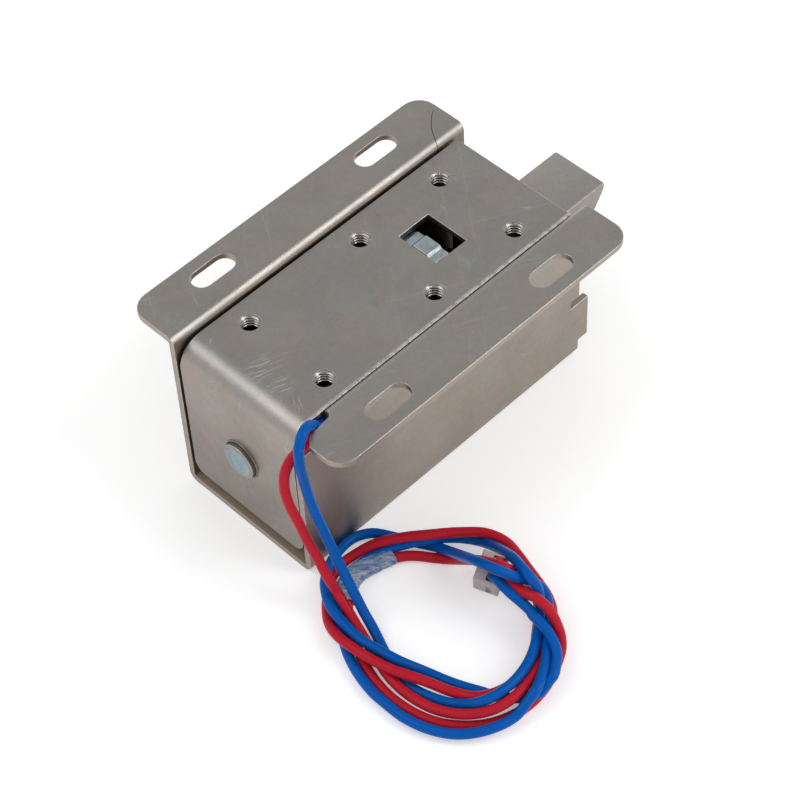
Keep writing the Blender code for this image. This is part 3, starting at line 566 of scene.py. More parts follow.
def streaked(tree, place, centre, turn, half_length, half_width, seed):
    """A mask of short scuffs side by side round a point, given in millimetres."""
    moved = vector(tree, "SUBTRACT", place, centre)
    turned = node(tree, "ShaderNodeMapping", {"Vector": moved, "Rotation": (0.0, 0.0, turn)}).outputs[0]
    off = distance(tree, turned, (0.0, 0.0, 0.0), (1 / half_length, 1 / half_width, 0.3))
    drawn = vector(tree, "MULTIPLY", turned, (0.35, 5.0, 0.3))
    drawn = vector(tree, "ADD", drawn, (seed, seed, seed))
    lines = ranged(tree, noise(tree, drawn, 1.0, 3.0, 0.6), 0.56, 0.66)
    return times(tree, lines, ranged(tree, off, 0.55, 1.0, 1.0, 0.0))


def scratch_lines(tree, turn, density, width, seed):
    """Thin straight scratches in one direction, broken up into short lengths."""
    drawn = in_millimetres(tree, (0.05, 1.0, 0.4), (0.0, 0.0, turn))
    drawn = vector(tree, "ADD", drawn, (seed, seed * 0.7, seed * 1.3))
    cells = node(tree, "ShaderNodeTexVoronoi", {"Vector": drawn, "Scale": density},
                 feature="DISTANCE_TO_EDGE")
    line = ranged(tree, cells.outputs["Distance"], 0.0, width, 1.0, 0.0)
    return times(tree, line, ranged(tree, noise(tree, drawn, 0.6, 2.0), 0.55, 0.68))


def put_out(tree, result, colour, roughness, height, depth, strength):
    """Sends out an effect's colour, its roughness and the normal of a height, its depth in millimetres."""
    bump = node(tree, "ShaderNodeBump", {"Height": height, "Distance": depth * MM, "Strength": strength})
    for label, value in (("Colour", colour), ("Roughness", roughness), ("Normal", bump.outputs[0])):
        tree.links.new(value, result[label])


def metal_group():
    """Plated sheet metal: mottling, grain, rolling marks, scratches and worn edges, with painted shade that
    tints upright faces and darkens them towards the bottom.
    """
    tree, given, result = group("Plated metal", {
        "Mottle": 0.5, "Rolling": 0.3, "Scratches": 0.5, "Wear": 0.5, "Marks": 0.0, "Low shade": 0.13,
        "Colour": WHITE, "Upright shade tint": WHITE, "Roughness": 0.35})
    plain = in_millimetres(tree)
    broad = noise(tree, plain, 0.13, 4.0, 0.55)
    cloud = noise(tree, plain, 0.8, 5.0, 0.65)
    grain = noise(tree, plain, 7.0, 3.0, 0.65)
    specks = ranged(tree, noise(tree, plain, 2.3, 3.0, 0.7), 0.66, 0.72)
    flecks = ranged(tree, noise(tree, in_millimetres(tree, (1.4, 2.4, 2.0)), 1.0, 2.0), 0.76, 0.80)
    rolled = noise(tree, in_millimetres(tree, (0.06, 2.6, 2.6)), 1.0, 4.0, 0.65)
    marks = plus(tree, scratch_lines(tree, 0.5, 0.55, 0.012, 3.1),
                 scratch_lines(tree, -0.9, 0.4, 0.010, 9.7))
    marks = greatest(tree, times(tree, ranged(tree, marks, 0.0, 1.0), given["Scratches"]), given["Marks"])

    facing = node(tree, "ShaderNodeNewGeometry").outputs["Normal"]
    rounded = node(tree, "ShaderNodeBevel", {"Radius": 0.35 * MM}, samples=4).outputs[0]
    turned = node(tree, "ShaderNodeVectorMath", {0: rounded, 1: facing}, operation="DOT_PRODUCT")
    patchy = ranged(tree, noise(tree, plain, 2.2, 3.0, 0.6), 0.36, 0.60)
    worn = times(tree, ranged(tree, turned.outputs["Value"], 0.97, 0.80), patchy, given["Wear"])
    # Painted shade: upright faces are tinted darker and warmer, and darkened towards the bottom.
    upright = ranged(tree, maths(tree, "ABSOLUTE", part_of(tree, facing, "Z")), 0.75, 0.3)
    low = ranged(tree, part_of(tree, plain, "Z"), 3.0, 26.0, given["Low shade"], 0.0)

    swing = swung(tree, plus(tree, times(tree, broad, 0.6), times(tree, cloud, 0.4)), given["Mottle"])
    tone = plus(tree, 1.0, swing, swung(tree, rolled, times(tree, given["Rolling"], 0.5)),
                swung(tree, grain, 0.36), times(tree, flecks, 0.5), times(tree, marks, 0.55),
                times(tree, worn, 0.75), times(tree, specks, -0.30), times(tree, upright, low, -1.0))
    shade_tinted = node(tree, "ShaderNodeMix", {"Factor": upright, 6: given["Colour"], 7: given["Upright shade tint"]},
                  data_type="RGBA", blend_type="MULTIPLY").outputs[2]
    hue = ranged(tree, noise(tree, in_millimetres(tree, turn=(0.7, 0.3, 1.1)), 0.2, 3.0, 0.6), 0.4, 0.6)
    play = node(tree, "ShaderNodeMix", {0: hue, 4: (0.965, 1.005, 1.02), 5: (1.03, 0.992, 0.982)},
                data_type="VECTOR").outputs[1]
    colour = scaled(tree, vector(tree, "MULTIPLY", shade_tinted, play), tone)

    rough = plus(tree, given["Roughness"], times(tree, swing, -0.4), swung(tree, grain, 0.2),
                 times(tree, worn, -0.08), times(tree, upright, 0.07), times(tree, marks, 0.12))
    height = plus(tree, times(tree, grain, 0.55), times(tree, rolled, given["Rolling"], 0.6),
                  times(tree, cloud, 0.5), times(tree, marks, -0.8))
    put_out(tree, result, colour, ranged(tree, rough, 0.0, 1.0), height, 0.03, 0.8)
    return tree


def insulation_group():
    """Extruded insulation: slight waviness, scuffs and a change of tone."""
    tree, given, result = group("Insulation", {"Colour": WHITE, "Roughness": 0.35})
    plain = in_millimetres(tree)
    broad = noise(tree, plain, 0.12, 2.0)
    fine = noise(tree, plain, 5.0, 3.0)
    specks = ranged(tree, noise(tree, plain, 2.2, 4.0, 0.7), 0.62, 0.72)
    colour = scaled(tree, given["Colour"], plus(tree, 0.86, times(tree, broad, 0.28)))
    rough = plus(tree, given["Roughness"], times(tree, specks, 0.16), times(tree, fine, 0.06))
    put_out(tree, result, colour, rough, plus(tree, fine, specks), 0.012, 0.4)
    return tree


def moulded_group():
    """Moulded plastic, rubber or tape: fine grain and faint clouding."""
    tree, given, result = group("Moulded", {"Colour": WHITE, "Roughness": 0.5, "Grain": 0.5})
    plain = in_millimetres(tree)
    cloud = noise(tree, plain, 0.8, 4.0)
    grain = noise(tree, plain, 7.0, 2.0)
    colour = scaled(tree, given["Colour"], plus(tree, 0.9, times(tree, cloud, 0.2)))
    rough = plus(tree, given["Roughness"], times(tree, grain, 0.1))
    put_out(tree, result, colour, rough, grain, 0.02, given["Grain"])
    return tree


EFFECTS = {"Plated metal": metal_group, "Insulation": insulation_group, "Moulded": moulded_group}


def surface(name, effect, colour, roughness, metallic=0.0, values=None, mirroring=0.5):
    """A material whose colour, roughness and normal come from a shared effect, made when first used."""
    made = bpy.data.materials.new(name)
    made.use_nodes = True
    tree = made.node_tree
    shader = tree.nodes["Principled BSDF"].inputs
    shader["Metallic"].default_value = metallic
    shader["Specular IOR Level"].default_value = mirroring
    look = node(tree, "ShaderNodeGroup", node_tree=bpy.data.node_groups.get(effect) or EFFECTS[effect]())
    for key, value in {"Colour": (*colour, 1.0), "Roughness": roughness, **(values or {})}.items():
        look.inputs[key].default_value = value
    for key, label in (("Base Color", "Colour"), ("Roughness", "Roughness"), ("Normal", "Normal")):
        tree.links.new(look.outputs[label], shader[key])
    return made


def finish(name, colour=None):
    """A material made as the table of finishes says, in another colour where one is given."""
    effect, usual, *rest = FINISHES[name]
    return surface(name, effect, usual if colour is None else colour, *rest)


def overlaid(made, share, colour):
    """Lays a colour over a material's own, as far as a mask says."""
    tree = made.node_tree
    base = tree.nodes["Principled BSDF"].inputs["Base Color"]
    tree.links.new(blended(tree, share, base.links[0].from_socket, colour), base)


# Operators

# The studio, in metres: each lamp's size and place, and the table's half size and its gap under the lock
KEY_SIZE, KEY_PLACE = (0.45, 0.45), (-0.35, 0.25, 0.62)
FILL_SIZE, FILL_PLACE = (0.25, 0.7), (0.31, -0.49, 0.47)
TABLE_HALF, TABLE_DROP = 3.0, 0.02 * MM
# How white the table is, how much it glows to whoever looks at it, and how steep a ray has to be, from 0 for
# level to 1 for straight up, to meet the ceiling
TABLE_WHITE, TABLE_GLOW = (0.93, 0.93, 0.93, 1.0), 0.34
CEILING = 0.9


class LOCK_OT_stage(bpy.types.Operator):
    """Make the camera, the table and the studio light."""
    bl_idname = "lock.stage"
    bl_label = "Stage"

    def execute(self, context):
        settings = context.scene.lock_stage
        axes = camera_axes(settings.azimuth, settings.elevation, settings.roll)
        camera = linked("camera", bpy.data.cameras.new("camera"))
        camera.data.lens = settings.lens
        camera.data.sensor_width = SENSOR
        camera.data.clip_start = 0.01
        camera.matrix_world = Matrix.Translation(settings.camera_place) @ Matrix(axes).transposed().to_4x4()
        context.scene.camera = camera

        shape = bmesh.new()
        bmesh.ops.create_grid(shape, x_segments=1, y_segments=1, size=TABLE_HALF)
        floor = linked("table", mesh_of("table", shape))
        floor.location.z = -TABLE_DROP
        floor.data.materials.append(self.table_surface())
        floor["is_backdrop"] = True
        self.studio(context, settings)
        self.lamp("key", settings.key, KEY_SIZE, KEY_PLACE)
        self.lamp("fill", settings.fill, FILL_SIZE, FILL_PLACE)
        context.scene.view_settings.view_transform = "Standard"
        return {"FINISHED"}

    def table_surface(self):
        """Matt white that glows a little where it is looked at, and lights nothing that stands on it."""
        made = bpy.data.materials.new("table")
        made.use_nodes = True
        tree = made.node_tree
        shader = tree.nodes["Principled BSDF"].inputs
        shader["Base Color"].default_value = TABLE_WHITE
        shader["Roughness"].default_value = 0.9
        shader["Specular IOR Level"].default_value = 0.0
        shader["Emission Color"].default_value = WHITE
        path = node(tree, "ShaderNodeLightPath").outputs
        seen = greatest(tree, path["Is Camera Ray"], path["Is Glossy Ray"], path["Is Transmission Ray"])
        tree.links.new(times(tree, seen, TABLE_GLOW), shader["Emission Strength"])
        return made

    def studio(self, context, settings):
        """A white room, white to the camera, whose walls and ceiling light the lock by their own levels."""
        world = bpy.data.worlds.new("studio")
        world.use_nodes = True
        tree = world.node_tree
        background = tree.nodes["Background"].inputs
        height = part_of(tree, node(tree, "ShaderNodeTexCoord").outputs["Generated"], "Z")
        level = ranged(tree, height, 0.0, CEILING, settings.horizon, settings.overhead)
        seen = node(tree, "ShaderNodeLightPath").outputs["Is Camera Ray"]
        mixed = node(tree, "ShaderNodeMix", {0: seen, 2: level, 3: 1.0}, data_type="FLOAT").outputs[0]
        tree.links.new(mixed, background["Strength"])
        background["Color"].default_value = WHITE
        context.scene.world = world

    def lamp(self, name, power, size, place):
        """A soft rectangular lamp that looks at the lock."""
        data = bpy.data.lights.new(name, "AREA")
        data.energy = power
        data.shape = "RECTANGLE"
        data.size, data.size_y = size
        lamp = linked(name, data)
        lamp.location = place
        lamp.rotation_euler = Vector(place).to_track_quat("Z", "Y").to_euler()


# How far a lead stays inside the model's box, and how much light its insulation mirrors
CLEAR = 0.01 * MM
MIRRORING = 0.10


class LOCK_OT_leads(bpy.types.Operator):
    """Lay the two leads from the case through their coil into the plug."""
    bl_idname = "lock.leads"
    bl_label = "Leads"

    def execute(self, context):
        settings = context.scene.lock_leads
        lines = [coiled_line(BLUE_ROUTE, BLUE_TURNS, BLUE_TAIL, settings.step),
                 coiled_line(RED_ROUTE, RED_TURNS, RED_TAIL, settings.step)]
        low, high = (np.array(corner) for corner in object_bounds())
        margin = settings.diameter / 2 + CLEAR
        lines = [np.clip(line, low + margin, high - margin)
                 for line in settled(lines, settings.diameter, settings.rounds)]
        looks = [("blue_cord", settings.blue_colour, settings.blue_length, "blue_insulation",
                  ("blue_lead", "blue_tail", "lead_bundle"),
                  ["plug_shell", "crimp_blue", "terminal_blue", "clear_film"]),
                 ("red_cord", settings.red_colour, settings.red_length, "red_insulation",
                  ("red_lead", "red_tail"), ["crimp_red", "terminal_red"])]
        for line, (name, colour, length, slot, stood_for, carried) in zip(lines, looks):
            curve = bpy.data.curves.new(name, "CURVE")
            curve.dimensions = "3D"
            curve.bevel_depth = settings.diameter / 2
            curve.bevel_resolution = 5
            curve.use_fill_caps = True
            strand = curve.splines.new("POLY")
            strand.points.add(len(line) - 1)
            for spot, point in zip(strand.points, line):
                spot.co = (*point, 1.0)
            lead = linked(name, curve)
            curve.materials.append(surface(name, "Insulation", colour, settings.roughness,
                                           mirroring=MIRRORING))
            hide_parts(*stood_for)
            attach(lead, LOCK)
        return {"FINISHED"}


# Scuffs on the frame: each by its place in the picture, height, turn in radians and half sizes
SCUFFS = [(209, 345, 28.2, -0.5, 1.3, 0.9), (262, 368, 28.6, 0.35, 3.4, 2.6),
          (284, 385, 28.6, 0.35, 3.0, 1.8), (297, 405, 28.6, -1.0, 1.6, 1.4),
          (337, 448, 28.4, 0.4, 1.2, 0.8)]
# A curved hairline on the far flange: its circle, and the part of it that shows
HAIRLINE, HAIRLINE_RADIUS, HAIRLINE_WIDTH = (26.18, 7.39, 29.9), 10.44, 0.09
HAIRLINE_MIDDLE, HAIRLINE_REACH = (18.0, 13.6, 29.9), 4.6
# Dark specks on the case, by their place in the picture and height, and how far each reaches
SPECKS, SPECK_REACH = [(544.5, 325, 20.0), (196, 434, 18.0), (247, 432, 20.5)], 0.28
# Heights between which the case's floor is painted for its light and shade: flat brown and less metallic
FLOOR_HEIGHT = (1.6, 1.2)
# Where the plate's edge beside the flange gets a painted highlight, from and fully: across the lock, and in
# height
EDGE_HIGHLIGHT_ACROSS, EDGE_HIGHLIGHT_HEIGHT = (-10.2, -10.55), (27.4, 28.2)
# The core's end, which stands out of the end plate, and how much wider the crevice round it is
CORE_AXIS, NECK, CREVICE_PLAY = (0.0, 14.5), 2.8, 0.1
# The core's turned rim, by its share of the neck, and how closely its grooves follow each other
RIM, GROOVES = (0.74, 0.82), 26.0
# The bead staked round the neck: its middle's place out of the neck and out of the plate, its half thickness,
# how much it waves, the waves round it and the points round its section
BEAD_OUT, BEAD_FORWARD, BEAD_HALF = 0.2, 0.22, 0.16
BEAD_WAVE, BEAD_WAVES, BEAD_POINTS = 0.02, 5, 12
# Colours that lie over the finishes: painted light and shade on the case's floor, dirt, painted shade in the
# crevice, a painted edge highlight and the core's turned rim
FLOOR_LIGHT_AND_SHADE, DIRT, CREVICE_SHADE = (0.40, 0.32, 0.23), (0.03, 0.025, 0.02), (0.05, 0.045, 0.04)
EDGE_HIGHLIGHT, TURNED_RIM = (0.92, 0.90, 0.86), (0.40, 0.39, 0.36)


class LOCK_OT_sheets(bpy.types.Operator):
    """Give the case, the frame and their plates soft edges and plated surfaces."""
    bl_idname = "lock.sheets"
    bl_label = "Sheets"

    def execute(self, context):
        settings = context.scene.lock_metal
        edge = settings.edge
        for name, made, slot, breadth in (
                ("outer_case", self.case_surface(settings.case_colour), "case_nickel", edge),
                ("inner_frame", self.plate_surface(settings.frame_colour), "frame_nickel", edge),
                ("pole_plate", finish("blue_zinc"), "blue_zinc", edge),
                ("front_guide", finish("guide_nickel"), "guide_nickel", edge),
                ("fixed_core", self.core_surface(), "core_zinc", settings.core_edge)):
            softened(name, made, breadth)
        self.bead()
        return {"FINISHED"}

    def bead(self):
        """The bead of metal staked round the core's neck, its dark finish painted shade where the neck meets
        the plate.
        """
        rings = []
        for around in ANGLES:
            ring = []
            for k in range(BEAD_POINTS):
                angle = math.tau * k / BEAD_POINTS
                radius = (NECK + BEAD_OUT + BEAD_HALF * math.cos(angle)
                          + BEAD_WAVE * math.sin(BEAD_WAVES * around))
                ring.append(((CASE_END + BEAD_FORWARD + BEAD_HALF * math.sin(angle)) * MM,
                             (CORE_AXIS[0] + radius * math.cos(around)) * MM,
                             (CORE_AXIS[1] + radius * math.sin(around)) * MM))
            rings.append(ring)
        shape = skinned(bmesh.new(), rings, closed=True)
        bead = linked("core_bead", mesh_of("core_bead", shape, SHARP_ROUND))
        # Painted shade: the bead's dark finish stands for the shade where the neck meets the plate.
        bead.data.materials.append(finish("staked_zinc_shaded"))
        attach(bead, LOCK)

    def case_surface(self, colour):
        """Satin nickel, with painted light and shade on the floor under the end plate, a hairline on one
        flange and dark specks.
        """
        made = finish("satin_nickel", colour)
        tree = made.node_tree
        place = in_millimetres(tree)
        facing = node(tree, "ShaderNodeNewGeometry").outputs["Normal"]
        # Painted light and shade: the floor under the end plate is a flat brown, less metallic, for how it is
        # lit and shaded there.
        floor = times(tree, ranged(tree, part_of(tree, place, "Z"), *FLOOR_HEIGHT),
                      ranged(tree, part_of(tree, facing, "Z"), 0.3, 0.8))
        overlaid(made, floor, FLOOR_LIGHT_AND_SHADE)
        hair = times(tree, ringed(tree, place, HAIRLINE, HAIRLINE_RADIUS, HAIRLINE_WIDTH),
                     near(tree, place, HAIRLINE_MIDDLE, HAIRLINE_REACH))
        specks = [near(tree, place, tuple(spot / MM), SPECK_REACH) for spot in seen_at(SPECKS)]
        overlaid(made, times(tree, greatest(tree, hair, *specks), 0.8), DIRT)
        tree.links.new(maths(tree, "SUBTRACT", 1.0, times(tree, floor, 0.8)),
                       tree.nodes["Principled BSDF"].inputs["Metallic"])
        return made

    def plate_surface(self, colour):
        """Satin nickel with scuffs, painted shade in the crevice round the core's neck and a painted
        highlight along one edge.
        """
        made = finish("frame_nickel", colour)
        tree = made.node_tree
        place = in_millimetres(tree)
        spots = seen_at([scuff[:3] for scuff in SCUFFS])
        marks = [streaked(tree, place, tuple(spot / MM), *scuff[3:], 3.7 * k)
                 for k, (spot, scuff) in enumerate(zip(spots, SCUFFS))]
        look = next(part for part in tree.nodes if part.type == "GROUP")
        tree.links.new(greatest(tree, *marks), look.inputs["Marks"])
        # Painted shade: a dark ring on the plate in the crevice round the core's neck.
        crevice = ringed(tree, place, (0.0, *CORE_AXIS), NECK + CREVICE_PLAY, 0.3, (0.0, 1.0, 1.0))
        outer = ranged(tree, part_of(tree, place, "X"), CASE_END + 1.0, CASE_END + 2.0, 0.85, 0.0)
        overlaid(made, times(tree, crevice, outer), CREVICE_SHADE)
        # Painted highlight: a bright line along the plate's edge beside the flange.
        patchy = ranged(tree, noise(tree, place, 1.3, 4.0, 0.7), 0.30, 0.62)
        edge_highlight = times(tree, ranged(tree, part_of(tree, place, "Y"), *EDGE_HIGHLIGHT_ACROSS),
                       ranged(tree, part_of(tree, place, "Z"), *EDGE_HIGHLIGHT_HEIGHT), patchy, 0.9)
        overlaid(made, edge_highlight, EDGE_HIGHLIGHT)
        return made

    def core_surface(self):
        """Blue zinc on the face of the core's neck, with a turned, browner rim."""
        made = finish("core_zinc")
        tree = made.node_tree
        radius = distance(tree, in_millimetres(tree), (0.0, *CORE_AXIS), (0.0, 1.0, 1.0))
        grooves = times(tree, maths(tree, "SINE", times(tree, radius, GROOVES)), 0.35)
        rim = ranged(tree, radius, *(NECK * share for share in RIM))
        overlaid(made, rim, scaled(tree, TURNED_RIM, plus(tree, grooves, 0.8)))
        return made


# The tapped holes: their diameter, their places along and across the lock, and the sheet's top and thickness
HOLE_DIAMETER = 2.9
HOLES_ALONG, HOLES_ACROSS = (9.9, 30.5, 46.1), 7.1
FRAME_TOP, SHEET = 28.6, 1.0
# The drawn collar under each: its depth, its wall, the chamfer on its rim and its play in the hole
COLLAR_DEPTH, COLLAR_WALL, COLLAR_CHAMFER, COLLAR_PLAY = 2.0, 0.4, 0.1, 0.03
# Where the thread starts under the sheet's top, how steep and flat its crest is, and the rows of each turn
THREAD_START, CREST_SLOPE, CREST_FLAT, ROWS = 0.06, 2.6, 1.25, 10


class LOCK_OT_threads(bpy.types.Operator):
    """Draw a threaded collar down from each tapped hole."""
    bl_idname = "lock.threads"
    bl_label = "Threads"

    def execute(self, context):
        made = finish("thread_steel")
        holes = [(x, side * HOLES_ACROSS) for x in HOLES_ALONG for side in (-1, 1)]
        for k, (x, y) in enumerate(holes):
            self.thread(f"thread_{k + 1}", (x + CASE_END) * MM, y * MM, context.scene.lock_metal, made)
        return {"FINISHED"}

    def thread(self, name, x, y, settings, made):
        """A closed collar whose inside is a screw thread."""
        wall, chamfer = HOLE_DIAMETER / 2 * MM, COLLAR_CHAMFER * MM
        rim = wall + COLLAR_WALL * MM
        top, under, low = ((FRAME_TOP - down) * MM for down in (THREAD_START, SHEET, COLLAR_DEPTH))
        pitch, depth = settings.thread_pitch, settings.thread_depth
        count = round((top - low) / pitch * ROWS)
        profile = [(wall, top, 0.0), (wall, under, 0.0), (rim, under, 0.0), (rim, low + chamfer, 0.0),
                   (rim - chamfer, low, 0.0)]
        profile += [(wall - COLLAR_PLAY * MM, low + (top - low) * k / count, 1.0) for k in range(count + 1)]
        rings = []
        for radius, height, threaded in profile:
            fade = min(1.0, (top - height) / pitch * 2.0)
            ring = []
            for k, angle in enumerate(ANGLES):
                phase = (height / pitch - k / ROUND) % 1.0
                crest = max(0.0, 1.0 - abs(phase - 0.5) * CREST_SLOPE)
                reach = radius - threaded * depth * min(1.0, crest * CREST_FLAT) * fade
                ring.append((x + reach * math.cos(angle), y + reach * math.sin(angle), height))
            rings.append(ring)
        thread = linked(name, mesh_of(name, skinned(bmesh.new(), rings, closed=True), SHARP_THREAD))
        thread.data.materials.append(made)
        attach(thread, LOCK)


class LOCK_OT_bolt(bpy.types.Operator):
    """Finish the bolt, its plunger and its pin."""
    bl_idname = "lock.bolt"
    bl_label = "Bolt"

    def execute(self, context):
        edge = context.scene.lock_metal.edge
        softened("latch_bolt", finish("cast_nickel"), edge, BOLT)
        ground = finish("ground_nickel")
        painted("plunger", ground)
        painted("bolt_pin", ground)
        painted("return_spring", finish("spring_wire"))
        return {"FINISHED"}


class LOCK_OT_coil(bpy.types.Operator):
    """Finish the solenoid's winding and what it is wound on."""
    bl_idname = "lock.coil"
    bl_label = "Coil"

    def execute(self, context):
        for name, made in (("bobbin", "natural_nylon"), ("coil_winding", "enamelled_wire"),
                           ("coil_tape", "dark_tape"), ("guide_tube", "drawn_brass"),
                           ("bumper", "black_rubber")):
            painted(name, finish(made))
        return {"FINISHED"}


# The plug along its own axes: its size and edges, and each way's mouth, edges and place of the wire
PLUG_SIZE, PLUG_EDGE = (5.0, 4.4, 3.6), 0.22
WAY, MOUTH_MIDDLE, MOUTH_SIZE, MOUTH_DEPTH, MOUTH_EDGE = 1.1, 0.68, (1.5, 1.64), 4.2, 0.12
WIRE_IN_MOUTH = 0.75
# How deep each way's window and side groove lie, how far up the groove is, and their sizes
WINDOW_DEPTH, WINDOW_SIZE = 3.3, (1.5, 0.9, 1.6)
GROOVE_DEPTH, GROOVE_LIFT, GROOVE_SIZE = 3.2, 0.4, (2.8, 0.5, 0.7)
# The rib on one corner: how deep its middle lies, how far inside two of the plug's faces, its size and edges
RIB_DEPTH, RIB_INSIDE, RIB_SIZE, RIB_EDGE = 1.1, (0.62, 0.42), (2.4, 1.1, 0.74), 0.12
# The crimps: inner and outer radius, how deep each pair of wings starts and ends, the wings' first angle and
# their sweep in degrees, the steps round them, the lip at their ends and how narrow they are across
CRIMP_INNER, CRIMP_OUTER = 0.76, 0.90
CRIMP_WINGS = ((0.05, 0.9), (1.3, 2.0))
CRIMP_START, CRIMP_SWEEP, CRIMP_STEPS = 24, 312, 20
CRIMP_LIP, CRIMP_NARROW = 0.07, 0.78


class LOCK_OT_plug(bpy.types.Operator):
    """Mould the plug, with its mouths, rib and windows, and the crimps in it."""
    bl_idname = "lock.plug"
    bl_label = "Plug"

    def execute(self, context):
        gold = finish("terminal_gold")
        length, width, thickness = PLUG_SIZE
        plug = self.block("plug_shell", (length / 2, 0.0, 0.0), PLUG_SIZE, PLUG_EDGE)
        for side in (-1, 1):
            across = side * WAY
            for name, middle, size, edge in (
                    ("mouth", (0.0, across, MOUTH_MIDDLE), (2 * MOUTH_DEPTH, *MOUTH_SIZE), MOUTH_EDGE),
                    ("window", (WINDOW_DEPTH, across, -thickness / 2), WINDOW_SIZE, 0.0),
                    ("groove", (GROOVE_DEPTH, side * width / 2, GROOVE_LIFT), GROOVE_SIZE, 0.0)):
                self.combined(plug, self.block(name, middle, size, edge), "DIFFERENCE")
        rib = (RIB_DEPTH, width / 2 - RIB_INSIDE[0], -thickness / 2 + RIB_INSIDE[1])
        self.combined(plug, self.block("rib", rib, RIB_SIZE, RIB_EDGE), "UNION")
        plug.data.materials.clear()
        plug.data.materials.append(finish("plug_nylon"))
        plug.data.set_sharp_from_angle(angle=math.radians(SHARP))
        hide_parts("connector_housing")
        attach(plug, LOCK)
        for name, side in (("blue", -1), ("red", 1)):
            painted("terminal_" + name, gold)
            self.crimp("crimp_" + name, side * WAY, gold)
        return {"FINISHED"}

    def block(self, name, middle, size, edge):
        """A box along the plug's axes, its edges rounded."""
        shape = bmesh.new()
        bmesh.ops.create_cube(shape, size=1.0)
        bmesh.ops.scale(shape, vec=Vector(size) * MM, verts=shape.verts)
        bmesh.ops.translate(shape, vec=Vector(middle) * MM, verts=shape.verts)
        if edge:
            bmesh.ops.bevel(shape, geom=shape.edges[:], offset=edge * MM, segments=3, profile=0.5,
                            affect="EDGES")
        shape.transform(plug_frame())
        return linked(name, mesh_of(name, shape))

    def combined(self, thing, other, operation):
        """Cuts another box out of a piece, or joins it on."""
        change = thing.modifiers.new(operation, "BOOLEAN")
        change.operation = operation
        change.solver = "EXACT"
        change.object = other
        baked(thing)
        bpy.data.objects.remove(other)

    def crimp(self, name, across, gold):
        """Two pairs of sheet wings bent round the wire's end, just inside the mouth."""
        shape = bmesh.new()
        for start, end in CRIMP_WINGS:
            rings = []
            for k in range(CRIMP_STEPS + 1):
                angle = math.radians(CRIMP_START + CRIMP_SWEEP * k / CRIMP_STEPS)
                lip = CRIMP_LIP if k in (0, CRIMP_STEPS) else 0.0
                rings.append([Vector((depth, across + (radius + lip) * math.sin(angle) * CRIMP_NARROW,
                                      WIRE_IN_MOUTH + (radius + lip) * math.cos(angle))) * MM
                              for depth, radius in ((start, CRIMP_INNER), (start, CRIMP_OUTER),
                                                    (end, CRIMP_OUTER), (end, CRIMP_INNER))])
            skinned(shape, rings, capped=True)
        shape.transform(plug_frame())
        crimp = linked(name, mesh_of(name, shape))
        crimp.data.materials.append(gold)
        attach(crimp, LOCK)


# The clear film round two turns: its middle line, by place in the picture and height, and the steps
# between its sections and between the points that it is drawn through
FILM_LINE = [(392, 554.5, 1.02), (380, 560, 1.02), (368, 566, 1.02), (357, 573, 1.02), (349, 583, 1.02),
             (345, 594, 1.02), (345, 603, 1.02)]
FILM_STEP, FILM_DRAWN = 0.15, 0.05
# Its half sizes, its thickness and how deep its wrinkles are, in millimetres, and how square it is each way
FILM_HALF_WIDTH, FILM_HALF_HEIGHT, FILM_THICKNESS, FILM_WRINKLE = 1.52, 0.86, 0.05, 0.05
FILM_SQUARE_ACROSS, FILM_SQUARE_UP = 0.7, 0.8
# The colour of the painted glare along its wrinkles, and how much it hides where it lies close and along its
# wrinkles
GLARE_WHITE, FILM_HIDES = (0.62, 0.68, 0.74), (0.5, 0.68)


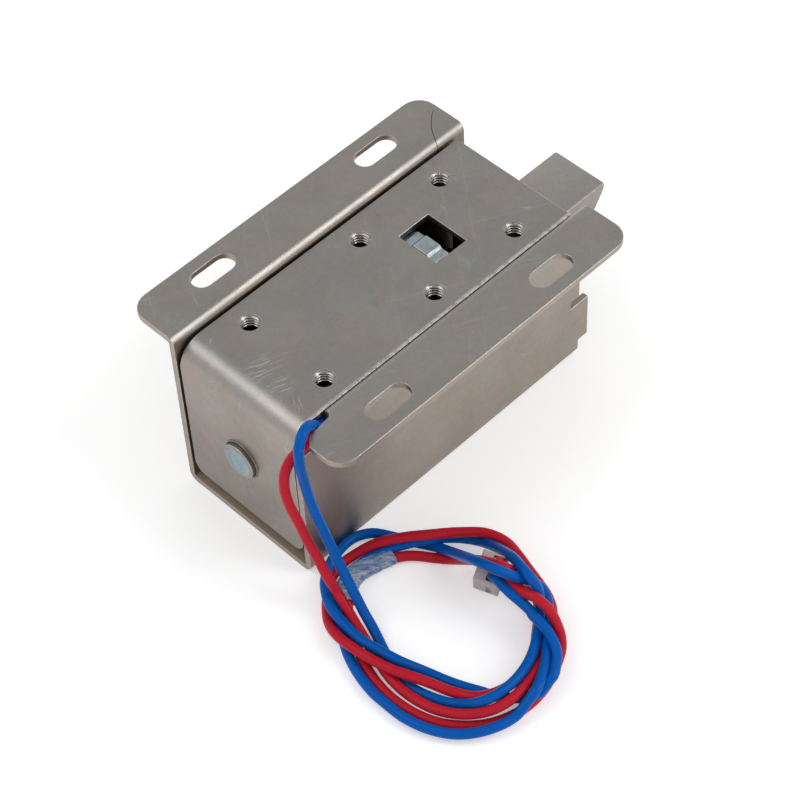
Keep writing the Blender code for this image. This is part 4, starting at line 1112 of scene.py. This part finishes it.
class LOCK_OT_film(bpy.types.Operator):
    """Wrap the clear film round two of the turns."""
    bl_idname = "lock.film"
    bl_label = "Film"

    def execute(self, context):
        line = evenly(smooth_line(seen_at(FILM_LINE), FILM_DRAWN * MM), FILM_STEP * MM)
        rings = [self.section(k, spot, along) for k, (spot, along) in enumerate(zip(line, tangents(line)))]
        film = linked("clear_film", mesh_of("clear_film", skinned(bmesh.new(), rings), SHARP_ROUND))
        film.data.materials.append(self.film_surface())
        thickness = film.modifiers.new("thickness", "SOLIDIFY")
        thickness.thickness = FILM_THICKNESS * MM
        baked(film)
        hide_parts("lead_sleeve")
        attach(film, LOCK)
        return {"FINISHED"}

    def section(self, k, spot, along):
        """The film's wrinkled section at one step of its line."""
        across = Vector((along[1], -along[0], 0.0)).normalized()
        ring = []
        for angle in ANGLES:
            wrinkle = (math.sin(0.9 * k + 3 * angle) * math.sin(0.31 * k + angle)
                       + 0.6 * math.sin(0.43 * k - 2 * angle)) * FILM_WRINKLE
            wide = across * (FILM_HALF_WIDTH + wrinkle) * MM
            high = (FILM_HALF_HEIGHT + wrinkle * 0.5) * MM
            ring.append(Vector(spot) + wide * self.squared(math.cos(angle), FILM_SQUARE_ACROSS)
                        + Vector((0.0, 0.0, high * self.squared(math.sin(angle), FILM_SQUARE_UP))))
        return ring

    def squared(self, value, power):
        """A share between -1 and 1 taken to a power with its sign kept, which squares a round section."""
        return math.copysign(abs(value) ** power, value)

    def film_surface(self):
        """Clear film over the leads, bluish where it lies close, with painted glare as white streaks along
        its wrinkles, and whiter where it lies low.
        """
        made = finish("clear_film")
        tree = made.node_tree
        drawn = in_millimetres(tree, (0.5, 1.8, 1.2), (0.0, 0.0, 0.6))
        # Painted glare: white streaks along the film, with more white where it lies low.
        glare_streaks = ranged(tree, noise(tree, drawn, 1.1, 4.0, 0.65, 0.8), 0.40, 0.66)
        low = ranged(tree, part_of(tree, in_millimetres(tree), "Z"), 1.0, 0.5)
        white = greatest(tree, glare_streaks, times(tree, low, 0.8))
        overlaid(made, white, GLARE_WHITE)
        tree.links.new(ranged(tree, white, 0.0, 1.0, *FILM_HIDES),
                       tree.nodes["Principled BSDF"].inputs["Alpha"])
        return made


class LOCK_PT_panel(bpy.types.Panel):
    """The lock's pieces and their settings."""
    bl_idname = "LOCK_PT_panel"
    bl_label = "Electronic lock"
    bl_space_type = "VIEW_3D"
    bl_region_type = "UI"
    bl_category = "Lock"

    def draw(self, context):
        for operator in OPERATORS:
            self.layout.operator(operator.bl_idname)
        for name in SETTINGS:
            held = getattr(context.scene, name)
            for key in held.bl_rna.properties.keys():
                if key not in ("rna_type", "name"):
                    self.layout.prop(held, key)


OPERATORS = (LOCK_OT_stage, LOCK_OT_sheets, LOCK_OT_threads, LOCK_OT_bolt, LOCK_OT_coil, LOCK_OT_plug,
             LOCK_OT_film, LOCK_OT_leads)
SETTINGS = {"lock_stage": StageSettings, "lock_leads": LeadSettings, "lock_metal": MetalSettings}


def register():
    for kind in (*SETTINGS.values(), *OPERATORS, LOCK_PT_panel):
        bpy.utils.register_class(kind)
    for name, kind in SETTINGS.items():
        setattr(bpy.types.Scene, name, PointerProperty(type=kind))


def unregister():
    for name in SETTINGS:
        delattr(bpy.types.Scene, name)
    for kind in (LOCK_PT_panel, *reversed(OPERATORS), *SETTINGS.values()):
        bpy.utils.unregister_class(kind)


def main():
    """Registers the add-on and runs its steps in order."""
    register()
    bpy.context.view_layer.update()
    bpy.ops.lock.stage()
    bpy.ops.lock.sheets()
    bpy.ops.lock.threads()
    bpy.ops.lock.bolt()
    bpy.ops.lock.coil()
    bpy.ops.lock.plug()
    bpy.ops.lock.film()
    bpy.ops.lock.leads()


if __name__ == "__main__":
    main()
